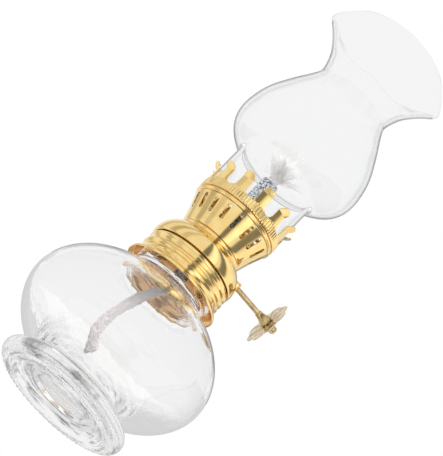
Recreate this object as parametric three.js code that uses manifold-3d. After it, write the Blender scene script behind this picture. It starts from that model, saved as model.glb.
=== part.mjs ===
// A small oil lamp: a footed glass font, a brass burner that screws on its neck, a round wick wound up
// and down by a side knob, and a glass chimney that stands between the burner's spring prongs.
// Millimetres, +Z up. The origin is the centre of the foot's underside. The knob points along +X.
import * as THREE from "three";
import { mergeVertices } from "three/addons/utils/BufferGeometryUtils.js";
import Module from "manifold-3d";

const wasm = await Module();
wasm.setup();

// ---------------------------------------------------------------- driving dimensions

const SEGMENTS = 30; // facets round every large turned piece
const FEW_SEGMENTS = 12; // facets round rods and other small pieces
const FIT = 0.15; // gap round a pin in its bore, and between stacked sheets
const EASE = 0.3; // gap between pieces that meet loosely

const FOOT = { radius: 28, thickness: 6.8, ringOuter: 25, ringInner: 21.5 };
const DISH = { radius: 17, depth: 3.4 };
const WAIST = { radius: 20.4, rise: 2.4 };
const GLOBE = { radius: 39.6, halfHeight: 27, wall: 2.6, floorAboveWaist: 3.8 };
const NECK = { radius: 15.9, wall: 2.6, height: 12.5 };
const THREAD = { pitch: 3, neckDepth: 0.8, collarDepth: 0.7, collarGap: 0.45, steps: 4 };

const GASKET = { thickness: 1 };
const SHEET = 0.45; // wall of the pressed brass pieces
const SKIRT = { flare: 2.95, height: 4.6, lip: 0.5 };
const DOME = { out: 1.1, height: 10.7, straight: 1.5, round: 8, rise: 8.2, lip: 1.8 };
const PLATE = { thickness: 0.5 };
const CONE = { bottomRadius: 13.3, topOut: 0.25, height: 11.9 };
const SLOT = { count: 18, width: 1.6, length: 6.6, fromTop: 0.9 };
const BEAD = { radius: 0.9, out: 0.6 };
const BAND = { gap: 0.45, height: 3.5 };
const PRONG = { count: 12, width: 4.4, height: 8, root: 1.2, phase: 23.8 };
const PRONG_BEND = { lean: 0.1, flare: 1.6, at: 0.62 };
const DIFFUSER = { thickness: 0.5, outerHoles: 12, outerRadius: 2.1, innerHoles: 8, innerRadius: 1.6 };

const TUBE = { gap: 0.75, wall: 0.35, mouthAboveSeat: 19.6, tailBelowPlate: 2.1 };
const WINDOW = { beside: 0.7, above: 0.25 };
const SPINDLE = { radius: 1, aboveCollar: 6.2 };
const WHEEL = { tipRadius: 2.75, rootRadius: 2.1, teeth: 12, width: 1, spacing: 2.2 };
const BRACKET = { thickness: 0.6, besideTube: 0.6, behindTube: 2 };
const EAR = { depth: 4.4, top: 2.2 };
const BUSHING = { radius: 2, inside: 3.8, outside: 0.8 };
const WASHER = { radius: 2.2, thickness: 0.6 };

const KNOB = { reach: 38.7, wheelAt: 34.1 };
const PETALS = { radius: 10, thickness: 0.8, count: 8, scallop: 0.9 };
const HUB = { length: 5, thinRadius: 1.5, wideRadius: 2.2 };
const NUB = { radius: 1.6, cap: 0.9 };

const WICK = { radius: 2.3, grip: 0.15, overlapBelow: 2.3, aboveMouth: 2.4 };
const TUFT = { neck: 2.2, radius: 7.4, height: 10.2 };
const TAIL = { thinner: 0.1, steps: 30, aboveFloor: 5 };

const CHIMNEY = { fitter: 17.2, wall: 1.4, bulb: 27.8, throat: 16, rim: 26.6 };
const CHIMNEY_HEIGHTS = { fitter: 22.6, bulb: 35.8, throat: 66.8, rim: 88.6 };
const RUFFLE = { lobes: 6, out: 1, droop: 0.5, crown: 1.6, facing: -103, begins: 0.35 };

// The wick's tail, from the burner down to its free end on the font's floor: x, y, and the share of the
// way up from where the end lies to the bottom of the wick's straight part.
const TAIL_POINTS = [
  [0, 0, 1],
  [0, 0, 0.94],
  [-0.9, 0.2, 0.87],
  [-2.6, 0.6, 0.78],
  [-4.6, 1, 0.66],
  [-5.9, 1.3, 0.52],
  [-6.8, 1.5, 0.4],
  [-7.4, 1.7, 0.28],
  [-7.5, 1.7, 0.2],
  [-6.9, 1.5, 0.12],
  [-5.3, 1.2, 0.05],
  [-3.2, 0.7, 0],
];

// ---------------------------------------------------------------- heights worked out, upwards from the foot

const waistZ = FOOT.thickness + WAIST.rise;
const globeZ = waistZ + GLOBE.halfHeight * Math.sqrt(1 - (WAIST.radius / GLOBE.radius) ** 2);
const shoulderZ = globeZ + GLOBE.halfHeight * Math.sqrt(1 - (NECK.radius / GLOBE.radius) ** 2);
const neckTopZ = shoulderZ + NECK.height;
const neckBore = NECK.radius - NECK.wall;
const floorZ = waistZ + GLOBE.floorAboveWaist;

// The collar's outside where the thread is shallowest.
const collarRadius = NECK.radius + THREAD.neckDepth + THREAD.collarGap + SHEET;
const gasketZ = neckTopZ + FIT;
const collarTopZ = gasketZ + GASKET.thickness + FIT + SHEET;
const plateZ = collarTopZ + FIT;
const domeZ = collarTopZ + FIT;
const domeTopZ = domeZ + DOME.height;
const coneZ = domeTopZ + FIT;
const coneTopZ = coneZ + CONE.height;
const domeRadius = collarRadius + DOME.out;
const domeMouth = CONE.bottomRadius - DOME.lip;
const bandRadius = CHIMNEY.fitter + BAND.gap + SHEET;
const beadZ = coneTopZ + EASE + BEAD.radius;
const beadRadius = bandRadius - SHEET - BEAD.out;
const coneTopRadius = beadRadius + CONE.topOut;
const bandZ = beadZ + BEAD.radius;
const diffuserZ = bandZ + FIT;
const seatZ = diffuserZ + DIFFUSER.thickness;
const chimneyZ = seatZ + FIT;
const bandTopZ = bandZ + BAND.height;

const tubeRadius = WICK.radius + TUBE.gap + TUBE.wall;
const tubeBottomZ = plateZ - TUBE.tailBelowPlate;
const tubeTopZ = seatZ + TUBE.mouthAboveSeat;
const spindleZ = collarTopZ + SPINDLE.aboveCollar;
const spindleY = -(WICK.radius + WICK.grip + WHEEL.tipRadius);
const spindleBore = SPINDLE.radius + FIT;
const bracketHalf = tubeRadius + BRACKET.besideTube;
const tuftZ = tubeTopZ + WICK.aboveMouth + EASE;
const coreBottomZ = tubeBottomZ - WICK.overlapBelow;

// Where the dome's round wall stands along the knob's spindle.
const climb = (spindleZ - domeZ - DOME.straight) / DOME.rise;
const domeAtSpindle = domeRadius - DOME.round + DOME.round * Math.sqrt(1 - climb ** 2);
const wallX = Math.sqrt(domeAtSpindle ** 2 - spindleY ** 2);
const bushingX = wallX - BUSHING.inside;
const innerEndX = -(bracketHalf + BRACKET.thickness + EASE);

// ---------------------------------------------------------------- making and joining solids

const colours = {
  glass: { color: 0xdfe8e6, roughness: 0.05, metalness: 0 },
  brass: { color: 0xe0b45c, roughness: 0.22, metalness: 1 },
  paleBrass: { color: 0xd3b884, roughness: 0.45, metalness: 1 },
  tin: { color: 0x8d8f8c, roughness: 0.4, metalness: 0.9 },
  steel: { color: 0xa8a9ab, roughness: 0.35, metalness: 1 },
  rubber: { color: 0x6b5a48, roughness: 0.8, metalness: 0 },
  cotton: { color: 0xcfc9c4, roughness: 0.95, metalness: 0 },
};

function makeMesh(name, geometry, finish) {
  const mesh = new THREE.Mesh(geometry, new THREE.MeshStandardMaterial(colours[finish]));
  mesh.name = name;
  return mesh;
}

function toSolid(geometry) {
  const bare = geometry.clone();
  bare.deleteAttribute("normal");
  bare.deleteAttribute("uv");
  const merged = mergeVertices(bare, 1e-4);
  const vertProperties = merged.attributes.position.array;
  const triVerts = new Uint32Array(merged.index.array);
  return new wasm.Manifold(new wasm.Mesh({ numProp: 3, vertProperties, triVerts }));
}

function toGeometry(solid) {
  const mesh = solid.getMesh();
  const geometry = new THREE.BufferGeometry();
  geometry.setAttribute("position", new THREE.BufferAttribute(mesh.vertProperties, 3));
  geometry.setIndex(new THREE.BufferAttribute(mesh.triVerts, 1));
  return geometry;
}

function cutAll(geometry, cutters) {
  const cut = cutters.reduce((left, cutter) => left.subtract(toSolid(cutter)), toSolid(geometry));
  return toGeometry(cut);
}

function joinAll(geometries) {
  const joined = geometries.map(toSolid).reduce((all, next) => all.add(next));
  return toGeometry(joined);
}

// A profile of [radius, height] points turned round Z. One that doesn't touch the axis is closed on itself.
function turned(profile, segments = SEGMENTS) {
  const points = profile.map(([r, z]) => new THREE.Vector2(r, z));
  const onAxis = profile[0][0] === 0 && profile.at(-1)[0] === 0;
  if (THREE.ShapeUtils.isClockWise(points)) points.reverse();
  if (!onAxis) points.push(points[0].clone());
  return new THREE.LatheGeometry(points, segments).rotateX(Math.PI / 2);
}

function ringOf(inner, outer, low, high, segments = SEGMENTS) {
  const profile = [
    [inner, low],
    [outer, low],
    [outer, high],
    [inner, high],
  ];
  return turned(profile, segments);
}

function rodOf(radius, low, high, segments = FEW_SEGMENTS) {
  const profile = [
    [0, low],
    [radius, low],
    [radius, high],
    [0, high],
  ];
  return turned(profile, segments);
}

// Turns a piece made round Z so that it lies round the knob's axis, its height running along +X.
function ontoSpindle(geometry) {
  return geometry.rotateY(Math.PI / 2).translate(0, spindleY, spindleZ);
}

// Points of an ellipse about (r, z), from one angle to another in degrees, 0 outwards and 90 upwards.
function arc(r, z, across, up, from, to, steps) {
  return Array.from({ length: steps + 1 }, (_, i) => {
    const t = THREE.MathUtils.degToRad(from + ((to - from) * i) / steps);
    return [r + across * Math.cos(t), z + up * Math.sin(t)];
  });
}

// The corners of a regular polygon of the given radius, as points of a flat shape.
function circlePoints(radius, count, x = 0, y = 0) {
  return Array.from({ length: count }, (_, i) => {
    const t = (i * 2 * Math.PI) / count;
    return new THREE.Vector2(x + radius * Math.cos(t), y + radius * Math.sin(t));
  });
}

// A smooth [radius, height] curve through a few knots.
function smoothProfile(knots, count) {
  const places = knots.map(([r, z]) => new THREE.Vector3(r, 0, z));
  const curve = new THREE.CatmullRomCurve3(places, false, "centripetal");
  return curve.getPoints(count).map((p) => [p.x, p.z]);
}

// A wall whose outside follows one curve: the inside is the same curve moved in by the thickness.
function insideOf(outside, thickness) {
  return outside.map(([r, z], i) => {
    const [r0, z0] = outside[Math.max(i - 1, 0)];
    const [r1, z1] = outside[Math.min(i + 1, outside.length - 1)];
    const long = Math.hypot(r1 - r0, z1 - z0);
    return [r - (thickness * (z1 - z0)) / long, z + (thickness * (r1 - r0)) / long];
  });
}

// Rounded stations between two heights, a quarter of the thread's pitch apart.
function threadHeights(low, high) {
  const count = Math.round(((high - low) / THREAD.pitch) * THREAD.steps);
  return Array.from({ length: count + 1 }, (_, i) => low + ((high - low) * i) / count);
}

// Presses a one-start thread into a turned piece: between two heights each wall point moves outwards by a
// wave that climbs one pitch a turn, and the wave fades out at both ends.
function pressThread(geometry, low, high, depth, fromRadius) {
  const place = geometry.attributes.position;
  const fade = THREAD.pitch / 2;
  for (let i = 0; i < place.count; i++) {
    const [x, y, z] = [place.getX(i), place.getY(i), place.getZ(i)];
    const r = Math.hypot(x, y);
    if (r < fromRadius || z <= low || z >= high) continue;
    const turn = Math.atan2(y, x) / (2 * Math.PI);
    const wave = 0.5 - 0.5 * Math.cos(2 * Math.PI * ((z - low) / THREAD.pitch - turn));
    const strength = Math.min(1, (z - low) / fade, (high - z) / fade);
    const grown = (r + depth * wave * strength) / r;
    place.setXY(i, x * grown, y * grown);
  }
  return geometry;
}

// ---------------------------------------------------------------- the glass font

function fontGeometry() {
  const edge = FOOT.thickness / 2;
  const globeFrom = -THREE.MathUtils.radToDeg(Math.acos(WAIST.radius / GLOBE.radius));
  const globeTo = THREE.MathUtils.radToDeg(Math.acos(NECK.radius / GLOBE.radius));
  const insideTo = THREE.MathUtils.radToDeg(Math.acos(neckBore / (GLOBE.radius - GLOBE.wall)));
  const threadLow = shoulderZ + 1.5;
  const threadHigh = neckTopZ - 0.8;
  const outside = [
    [0, DISH.depth],
    [DISH.radius * 0.75, DISH.depth * 0.92],
    [DISH.radius, DISH.depth * 0.7],
    [FOOT.ringInner, 0],
    [FOOT.ringOuter, 0],
    ...arc(FOOT.radius - edge, edge, edge, edge, -60, 80, 6),
    ...arc(0, globeZ, GLOBE.radius, GLOBE.halfHeight, globeFrom, globeTo, 11),
    ...threadHeights(threadLow, threadHigh).map((z) => [NECK.radius, z]),
    [NECK.radius - 0.4, neckTopZ],
  ];
  const inside = [
    [neckBore + 0.4, neckTopZ],
    [neckBore, neckTopZ - 0.8],
    ...arc(0, globeZ, GLOBE.radius - GLOBE.wall, GLOBE.halfHeight - GLOBE.wall, insideTo, 0, 6),
    ...arc(0, globeZ, GLOBE.radius - GLOBE.wall, globeZ - floorZ, -15, -90, 5),
  ];
  inside.at(-1)[0] = 0;
  const glass = turned([...outside, ...inside]);
  return pressThread(glass, threadLow, threadHigh, THREAD.neckDepth, NECK.radius - 0.1);
}

function gasketGeometry() {
  return ringOf(neckBore + EASE, NECK.radius, gasketZ, gasketZ + GASKET.thickness);
}

// ---------------------------------------------------------------- the burner's shell

function collarGeometry() {
  const threadHigh = collarTopZ - 0.6;
  const threadLow = threadHigh - 2 * THREAD.pitch;
  const skirtZ = threadLow - SKIRT.height;
  const heights = threadHeights(threadLow, threadHigh);
  const inner = collarRadius - SHEET;
  const flared = collarRadius + SKIRT.flare;
  const profile = [
    [flared - SHEET, skirtZ],
    [flared, skirtZ],
    [flared, skirtZ + SKIRT.lip],
    [collarRadius + SKIRT.flare * 0.45, skirtZ + SKIRT.height * 0.85],
    ...heights.map((z) => [collarRadius, z]),
    [collarRadius - 0.3, collarTopZ],
    [neckBore + EASE, collarTopZ],
    [neckBore + EASE, collarTopZ - SHEET],
    [inner, collarTopZ - SHEET],
    ...heights.reverse().map((z) => [inner, z]),
    [inner + SKIRT.flare * 0.45, skirtZ + SKIRT.height * 0.85],
    [flared - SHEET, skirtZ + SKIRT.lip],
  ];
  return pressThread(turned(profile), threadLow, threadHigh, THREAD.collarDepth, inner - 0.1);
}

function plateGeometry() {
  return ringOf(tubeRadius + FIT, collarRadius - SHEET, plateZ, plateZ + PLATE.thickness);
}

function domeGeometry() {
  const springing = domeZ + DOME.straight;
  const outside = [
    [collarRadius + 0.2, domeZ],
    ...arc(domeRadius - DOME.round, springing, DOME.round, DOME.rise, 0, 66, 6),
    [CONE.bottomRadius - 0.8, domeTopZ],
  ];
  const inside = insideOf(outside, SHEET).reverse();
  inside.at(-1)[1] = domeZ;
  const shell = turned([...outside, [domeMouth, domeTopZ], [domeMouth, domeTopZ - SHEET], ...inside]);
  const hole = ontoSpindle(rodOf(BUSHING.radius + FIT, domeRadius / 2, domeRadius + 2));
  return cutAll(shell, [hole]);
}

function slotCutter(angle) {
  const half = SLOT.width / 2;
  const straight = SLOT.length / 2 - half;
  const outline = new THREE.Shape();
  outline.absarc(0, straight, half, 0, Math.PI);
  outline.absarc(0, -straight, half, Math.PI, 2 * Math.PI);
  const reach = coneTopRadius - CONE.bottomRadius + 3;
  return new THREE.ExtrudeGeometry(outline, { depth: reach, bevelEnabled: false, curveSegments: 2 })
    .rotateX(Math.PI / 2)
    .rotateZ(Math.PI)
    .translate(0, CONE.bottomRadius - 1, coneTopZ - SLOT.fromTop - SLOT.length / 2)
    .rotateZ(angle);
}

function coneGeometry() {
  const profile = [
    [domeMouth, coneZ],
    [CONE.bottomRadius, coneZ],
    [coneTopRadius, coneTopZ],
    [coneTopRadius - SHEET, coneTopZ],
    [CONE.bottomRadius - SHEET, coneZ + SHEET],
    [domeMouth, coneZ + SHEET],
  ];
  const slots = Array.from({ length: SLOT.count }, (_, i) => slotCutter((i * 2 * Math.PI) / SLOT.count));
  return cutAll(turned(profile), slots);
}

function beadGeometry() {
  return turned(arc(beadRadius, beadZ, BEAD.radius, BEAD.radius, 0, 315, 7));
}

// One spring prong: a round-ended strip bent to follow the band, leaning in and then flaring out. It runs
// down into the band's wall, where it is joined.
function prongGeometry(angle) {
  const half = PRONG.width / 2;
  const shoulder = PRONG.height - half;
  const rows = 3;
  const rise = (i) => -PRONG.root + ((shoulder + PRONG.root) * i) / rows;
  const outline = new THREE.Shape();
  outline.moveTo(-half, -PRONG.root);
  for (let i = 0; i <= rows; i++) outline.lineTo(half, rise(i));
  outline.absarc(0, shoulder, half, 0, Math.PI);
  for (let i = rows - 1; i > 0; i--) outline.lineTo(-half, rise(i));
  const sheet = { depth: SHEET * 0.9, bevelEnabled: false, curveSegments: 2 };
  const strip = new THREE.ExtrudeGeometry(outline, sheet);
  const place = strip.attributes.position;
  const inner = bandRadius - SHEET * 0.95;
  for (let i = 0; i < place.count; i++) {
    const up = place.getY(i);
    const share = THREE.MathUtils.clamp(up / PRONG.height, 0, 1);
    const past = Math.max(0, share - PRONG_BEND.at) / (1 - PRONG_BEND.at);
    const lean = PRONG_BEND.lean * Math.min(1, share / PRONG_BEND.at);
    const r = inner + place.getZ(i) - lean + PRONG_BEND.flare * past ** 1.5;
    const turn = angle + place.getX(i) / bandRadius;
    place.setXYZ(i, r * Math.cos(turn), r * Math.sin(turn), bandTopZ + up);
  }
  return strip;
}

function galleryGeometry() {
  const band = ringOf(bandRadius - SHEET, bandRadius, bandZ, bandTopZ);
  const first = THREE.MathUtils.degToRad(PRONG.phase);
  const angles = Array.from({ length: PRONG.count }, (_, i) => first + (i * 2 * Math.PI) / PRONG.count);
  return joinAll([band, ...angles.map(prongGeometry)]);
}

function diffuserGeometry() {
  const outline = new THREE.Shape(circlePoints(CHIMNEY.fitter, SEGMENTS));
  outline.holes.push(new THREE.Path(circlePoints(tubeRadius + FIT, 2 * FEW_SEGMENTS)));
  const rows = [
    [DIFFUSER.outerHoles, DIFFUSER.outerRadius, CHIMNEY.fitter * 0.72],
    [DIFFUSER.innerHoles, DIFFUSER.innerRadius, CHIMNEY.fitter * 0.44],
  ];
  for (const [count, holeRadius, radius] of rows)
    for (let i = 0; i < count; i++) {
      const t = (i * 2 * Math.PI) / count;
      const corners = circlePoints(holeRadius, 10, radius * Math.cos(t), radius * Math.sin(t));
      outline.holes.push(new THREE.Path(corners));
    }
  const disc = new THREE.ExtrudeGeometry(outline, { depth: DIFFUSER.thickness, bevelEnabled: false });
  return disc.translate(0, 0, diffuserZ);
}

// ---------------------------------------------------------------- the wick tube and its feed

function tubeGeometry() {
  const pipe = ringOf(tubeRadius - TUBE.wall, tubeRadius, tubeBottomZ, tubeTopZ, 2 * FEW_SEGMENTS);
  const wide = WHEEL.spacing + WHEEL.width + 2 * WINDOW.beside;
  const tall = 2 * (WHEEL.tipRadius + WINDOW.above);
  const window = new THREE.BoxGeometry(wide, tubeRadius, tall);
  return cutAll(pipe, [window.translate(0, -tubeRadius, spindleZ)]);
}

function bracketGeometry() {
  const t = BRACKET.thickness;
  const out = bracketHalf + t;
  const base = plateZ + PLATE.thickness + FIT;
  const top = spindleZ + EAR.top;
  const front = spindleY - EAR.depth / 2;
  const channel = new THREE.Shape();
  channel.setFromPoints(
    [
      [-out, base],
      [out, base],
      [out, top],
      [out - t, top],
      [out - t, base + t],
      [t - out, base + t],
      [t - out, top],
      [-out, top],
    ].map(([x, z]) => new THREE.Vector2(x, z)),
  );
  const long = tubeRadius - front + BRACKET.behindTube;
  const bent = new THREE.ExtrudeGeometry(channel, { depth: long, bevelEnabled: false })
    .rotateX(Math.PI / 2)
    .translate(0, front + long, 0);
  const tall = top - base;
  const tubeHole = rodOf(tubeRadius + FIT, base - 1, base + t + 1, 2 * FEW_SEGMENTS);
  const spindleHole = ontoSpindle(rodOf(spindleBore, -out - 1, out + 1));
  const behind = new THREE.BoxGeometry(4 * out, long, tall);
  behind.translate(0, front + EAR.depth + long / 2, base + t + tall / 2);
  return cutAll(bent, [tubeHole, spindleHole, behind]);
}

function wheelGeometry(side) {
  const corners = Array.from({ length: 2 * WHEEL.teeth }, (_, i) => {
    const t = (i * Math.PI) / WHEEL.teeth;
    const r = i % 2 ? WHEEL.rootRadius : WHEEL.tipRadius;
    return new THREE.Vector2(r * Math.cos(t), r * Math.sin(t));
  });
  const outline = new THREE.Shape(corners);
  outline.holes.push(new THREE.Path(circlePoints(spindleBore, FEW_SEGMENTS)));
  const star = new THREE.ExtrudeGeometry(outline, { depth: WHEEL.width, bevelEnabled: false });
  return ontoSpindle(star.translate(0, 0, (side * WHEEL.spacing) / 2 - WHEEL.width / 2));
}

function spindleGeometry() {
  return ontoSpindle(rodOf(SPINDLE.radius, innerEndX - WASHER.thickness - 0.4, KNOB.reach - NUB.cap - FIT));
}

function retainerGeometry() {
  return ontoSpindle(
    ringOf(spindleBore, WASHER.radius - 0.6, innerEndX - WASHER.thickness, innerEndX, FEW_SEGMENTS),
  );
}

function washerGeometry() {
  const right = bushingX - FIT;
  return ontoSpindle(ringOf(spindleBore, WASHER.radius, right - WASHER.thickness, right, FEW_SEGMENTS));
}

function bushingGeometry() {
  return ontoSpindle(ringOf(spindleBore, BUSHING.radius, bushingX, wallX + BUSHING.outside, FEW_SEGMENTS));
}

// ---------------------------------------------------------------- the knob

function hubGeometry() {
  const right = KNOB.wheelAt - FIT;
  const left = right - HUB.length;
  const profile = [
    [spindleBore, left],
    [HUB.thinRadius, left],
    [HUB.thinRadius, left + HUB.length * 0.45],
    [HUB.wideRadius, right - 0.6],
    [HUB.wideRadius, right],
    [spindleBore, right],
  ];
  return ontoSpindle(turned(profile, FEW_SEGMENTS));
}

function thumbWheelGeometry() {
  const perPetal = 5;
  const count = PETALS.count * perPetal;
  const corners = Array.from({ length: count }, (_, i) => {
    const t = (i * 2 * Math.PI) / count;
    const hollow = Math.abs(Math.sin((PETALS.count * t) / 2));
    const r = PETALS.radius - PETALS.scallop * (1 - hollow);
    return new THREE.Vector2(r * Math.cos(t), r * Math.sin(t));
  });
  const outline = new THREE.Shape(corners);
  outline.holes.push(new THREE.Path(circlePoints(spindleBore, FEW_SEGMENTS)));
  const disc = new THREE.ExtrudeGeometry(outline, { depth: PETALS.thickness, bevelEnabled: false });
  return ontoSpindle(disc.translate(0, 0, KNOB.wheelAt));
}

function nubGeometry() {
  const left = KNOB.wheelAt + PETALS.thickness + FIT;
  const bottom = KNOB.reach - NUB.cap;
  const profile = [
    [0, bottom],
    [spindleBore, bottom],
    [spindleBore, left],
    [NUB.radius, left],
    [NUB.radius, KNOB.reach - 0.4],
    [NUB.radius - 0.4, KNOB.reach],
    [0, KNOB.reach],
  ];
  return ontoSpindle(turned(profile, FEW_SEGMENTS));
}

// ---------------------------------------------------------------- the wick

function wickCoreGeometry() {
  return rodOf(WICK.radius, coreBottomZ, tuftZ - EASE);
}

function tuftGeometry() {
  const share = (part) => tuftZ + TUFT.height * part;
  const profile = [
    [0, tuftZ],
    [TUFT.neck, tuftZ],
    [TUFT.radius * 0.55, share(0.22)],
    [TUFT.radius, share(0.5)],
    [TUFT.radius * 0.95, share(0.75)],
    [TUFT.radius * 0.6, share(0.94)],
    [0, share(1)],
  ];
  return turned(profile);
}

function tailGeometry() {
  const low = floorZ + TAIL.aboveFloor;
  const high = coreBottomZ - EASE;
  const places = TAIL_POINTS.map(([x, y, share]) => new THREE.Vector3(x, y, low + (high - low) * share));
  const path = new THREE.CatmullRomCurve3(places);
  const section = new THREE.Shape(circlePoints(WICK.radius - TAIL.thinner, 8));
  return new THREE.ExtrudeGeometry(section, { steps: TAIL.steps, extrudePath: path });
}

// ---------------------------------------------------------------- the glass chimney

// The rim is crimped into lobes: each lobe leans out and droops, and the crown stands a little higher at
// two opposite sides. Both grow from the throat up to the rim.
function crimpRim(geometry) {
  const place = geometry.attributes.position;
  const throat = chimneyZ + CHIMNEY_HEIGHTS.throat;
  const rim = chimneyZ + CHIMNEY_HEIGHTS.rim;
  const begins = throat + (rim - throat) * RUFFLE.begins;
  const facing = THREE.MathUtils.degToRad(RUFFLE.facing);
  for (let i = 0; i < place.count; i++) {
    const [x, y, z] = [place.getX(i), place.getY(i), place.getZ(i)];
    if (z <= begins) continue;
    const share = Math.min(1, (z - begins) / (rim - begins)) ** 1.5;
    const turn = Math.atan2(y, x) - facing;
    const lobe = -Math.cos(RUFFLE.lobes * turn);
    const grown = 1 + (RUFFLE.out * share * lobe) / CHIMNEY.rim;
    const lift = share * (RUFFLE.crown * Math.cos(2 * turn) - RUFFLE.droop * lobe);
    place.setXYZ(i, x * grown, y * grown, z + lift);
  }
  return geometry;
}

function chimneyGeometry() {
  const { fitter, bulb, throat, rim } = CHIMNEY;
  const at = (height) => chimneyZ + height;
  const high = CHIMNEY_HEIGHTS;
  const shape = [
    [fitter + 1, at(high.fitter + 1)],
    [fitter + (bulb - fitter) * 0.45, at(high.fitter + 2.8)],
    [fitter + (bulb - fitter) * 0.8, at(high.fitter + 6)],
    [bulb - 0.5, at(high.bulb - 4)],
    [bulb, at(high.bulb)],
    [bulb - 1.4, at(high.bulb + 8.6)],
    [throat + (bulb - throat) * 0.55, at(high.throat - 13.5)],
    [throat + (bulb - throat) * 0.12, at(high.throat - 4)],
    [throat, at(high.throat)],
    [throat + (rim - throat) * 0.22, at(high.throat + 9)],
    [throat + (rim - throat) * 0.6, at(high.throat + 16)],
    [rim, at(high.rim)],
  ];
  const outside = [[fitter, chimneyZ], [fitter, at(high.fitter)], ...smoothProfile(shape, 17)];
  const inside = insideOf(outside, CHIMNEY.wall).reverse();
  inside.at(-1)[1] = chimneyZ;
  return crimpRim(turned([...outside, ...inside]));
}

// ---------------------------------------------------------------- the whole lamp

const font = new THREE.Group();
font.add(makeMesh("glass_font", fontGeometry(), "glass"));
font.add(makeMesh("neck_gasket", gasketGeometry(), "rubber"));

const burner = new THREE.Group();
burner.add(makeMesh("screw_collar", collarGeometry(), "brass"));
burner.add(makeMesh("tube_plate", plateGeometry(), "brass"));
burner.add(makeMesh("burner_dome", domeGeometry(), "brass"));
burner.add(makeMesh("burner_cone", coneGeometry(), "brass"));
burner.add(makeMesh("gallery_bead", beadGeometry(), "brass"));
burner.add(makeMesh("chimney_gallery", galleryGeometry(), "brass"));
burner.add(makeMesh("air_diffuser", diffuserGeometry(), "brass"));
burner.add(makeMesh("wick_tube", tubeGeometry(), "tin"));
burner.add(makeMesh("feed_bracket", bracketGeometry(), "steel"));
burner.add(makeMesh("spindle_bushing", bushingGeometry(), "brass"));

const raiser = new THREE.Group();
raiser.add(makeMesh("feed_spindle", spindleGeometry(), "brass"));
raiser.add(makeMesh("feed_wheel_inner", wheelGeometry(-1), "steel"));
raiser.add(makeMesh("feed_wheel_outer", wheelGeometry(1), "steel"));
raiser.add(makeMesh("spindle_retainer", retainerGeometry(), "steel"));
raiser.add(makeMesh("spindle_washer", washerGeometry(), "steel"));
raiser.add(makeMesh("knob_hub", hubGeometry(), "brass"));
raiser.add(makeMesh("thumb_wheel", thumbWheelGeometry(), "paleBrass"));
raiser.add(makeMesh("knob_nub", nubGeometry(), "brass"));

const wick = new THREE.Group();
wick.add(makeMesh("wick_core", wickCoreGeometry(), "cotton"));
wick.add(makeMesh("wick_tuft", tuftGeometry(), "cotton"));
wick.add(makeMesh("wick_tail", tailGeometry(), "cotton"));

const lamp = new THREE.Group();
lamp.add(font, burner, raiser, wick);
lamp.add(makeMesh("glass_chimney", chimneyGeometry(), "glass"));

export default lamp;
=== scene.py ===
"""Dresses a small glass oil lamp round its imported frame: fine surfaces, materials, a pale studio and a
camera."""

import math

import bmesh
import bpy
import numpy as np
from bpy.props import FloatProperty, FloatVectorProperty, IntProperty, PointerProperty
from mathutils import Matrix, Vector


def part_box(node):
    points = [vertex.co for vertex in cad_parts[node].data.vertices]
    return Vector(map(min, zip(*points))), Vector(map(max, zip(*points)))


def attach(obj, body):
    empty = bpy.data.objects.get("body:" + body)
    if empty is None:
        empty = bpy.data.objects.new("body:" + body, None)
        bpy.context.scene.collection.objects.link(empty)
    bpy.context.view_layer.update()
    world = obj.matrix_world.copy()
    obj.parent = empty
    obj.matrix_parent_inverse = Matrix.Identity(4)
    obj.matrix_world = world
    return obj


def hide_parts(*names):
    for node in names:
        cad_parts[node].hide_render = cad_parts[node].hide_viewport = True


bl_info = {
    "name": "Oil Lamp",
    "version": (1, 0, 0),
    "blender": (4, 5, 0),
    "location": "View3D > Sidebar > Oil Lamp",
    "description": "Builds the visible pieces of a small glass oil lamp round its packed frame",
    "category": "Object",
}

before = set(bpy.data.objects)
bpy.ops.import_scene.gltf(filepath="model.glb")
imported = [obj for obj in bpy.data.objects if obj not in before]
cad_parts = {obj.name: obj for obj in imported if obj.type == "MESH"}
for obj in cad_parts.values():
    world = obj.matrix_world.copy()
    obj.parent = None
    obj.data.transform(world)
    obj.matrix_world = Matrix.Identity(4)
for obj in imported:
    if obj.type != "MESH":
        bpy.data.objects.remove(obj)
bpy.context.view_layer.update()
MM = 0.001

# ---------------------------------------------------------------- places read from the frame

GLASS_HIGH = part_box("glass_font")[1]
COLLAR_LOW, COLLAR_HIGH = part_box("screw_collar")
DOME_LOW, DOME_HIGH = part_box("burner_dome")
CONE_LOW, CONE_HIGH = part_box("burner_cone")
BEAD_LOW, BEAD_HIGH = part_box("gallery_bead")
GALLERY_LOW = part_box("chimney_gallery")[0]
DIFFUSER_LOW, DIFFUSER_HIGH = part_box("air_diffuser")
TUBE_LOW, TUBE_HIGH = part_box("wick_tube")
CORE_LOW, CORE_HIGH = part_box("wick_core")
TUFT_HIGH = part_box("wick_tuft")[1]
CHIMNEY_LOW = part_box("glass_chimney")[0]
BUSHING_LOW, BUSHING_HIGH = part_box("spindle_bushing")
SPINDLE_LOW, SPINDLE_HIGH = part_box("feed_spindle")
HUB_LOW, HUB_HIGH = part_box("knob_hub")
WHEEL_LOW, WHEEL_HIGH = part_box("thumb_wheel")
NUB_LOW, NUB_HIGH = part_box("knob_nub")
KNOB_AXIS = (SPINDLE_LOW + SPINDLE_HIGH) / 2

# ---------------------------------------------------------------- what a user would change


def length(name, description, millimetres):
    """A length a user may change, given here in millimetres and kept in metres."""
    return FloatProperty(
        name=name, description=description, default=millimetres * MM, min=0, precision=5, unit="LENGTH"
    )


def colour(name, description, value):
    """A colour a user may change, in linear red, green and blue."""
    return FloatVectorProperty(
        name=name, description=description, default=value, min=0, max=1, size=3, subtype="COLOR"
    )


def amount(name, description, value, most=1.0):
    """A plain number a user may change, from 0 up."""
    return FloatProperty(name=name, description=description, default=value, min=0, max=most)


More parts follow.
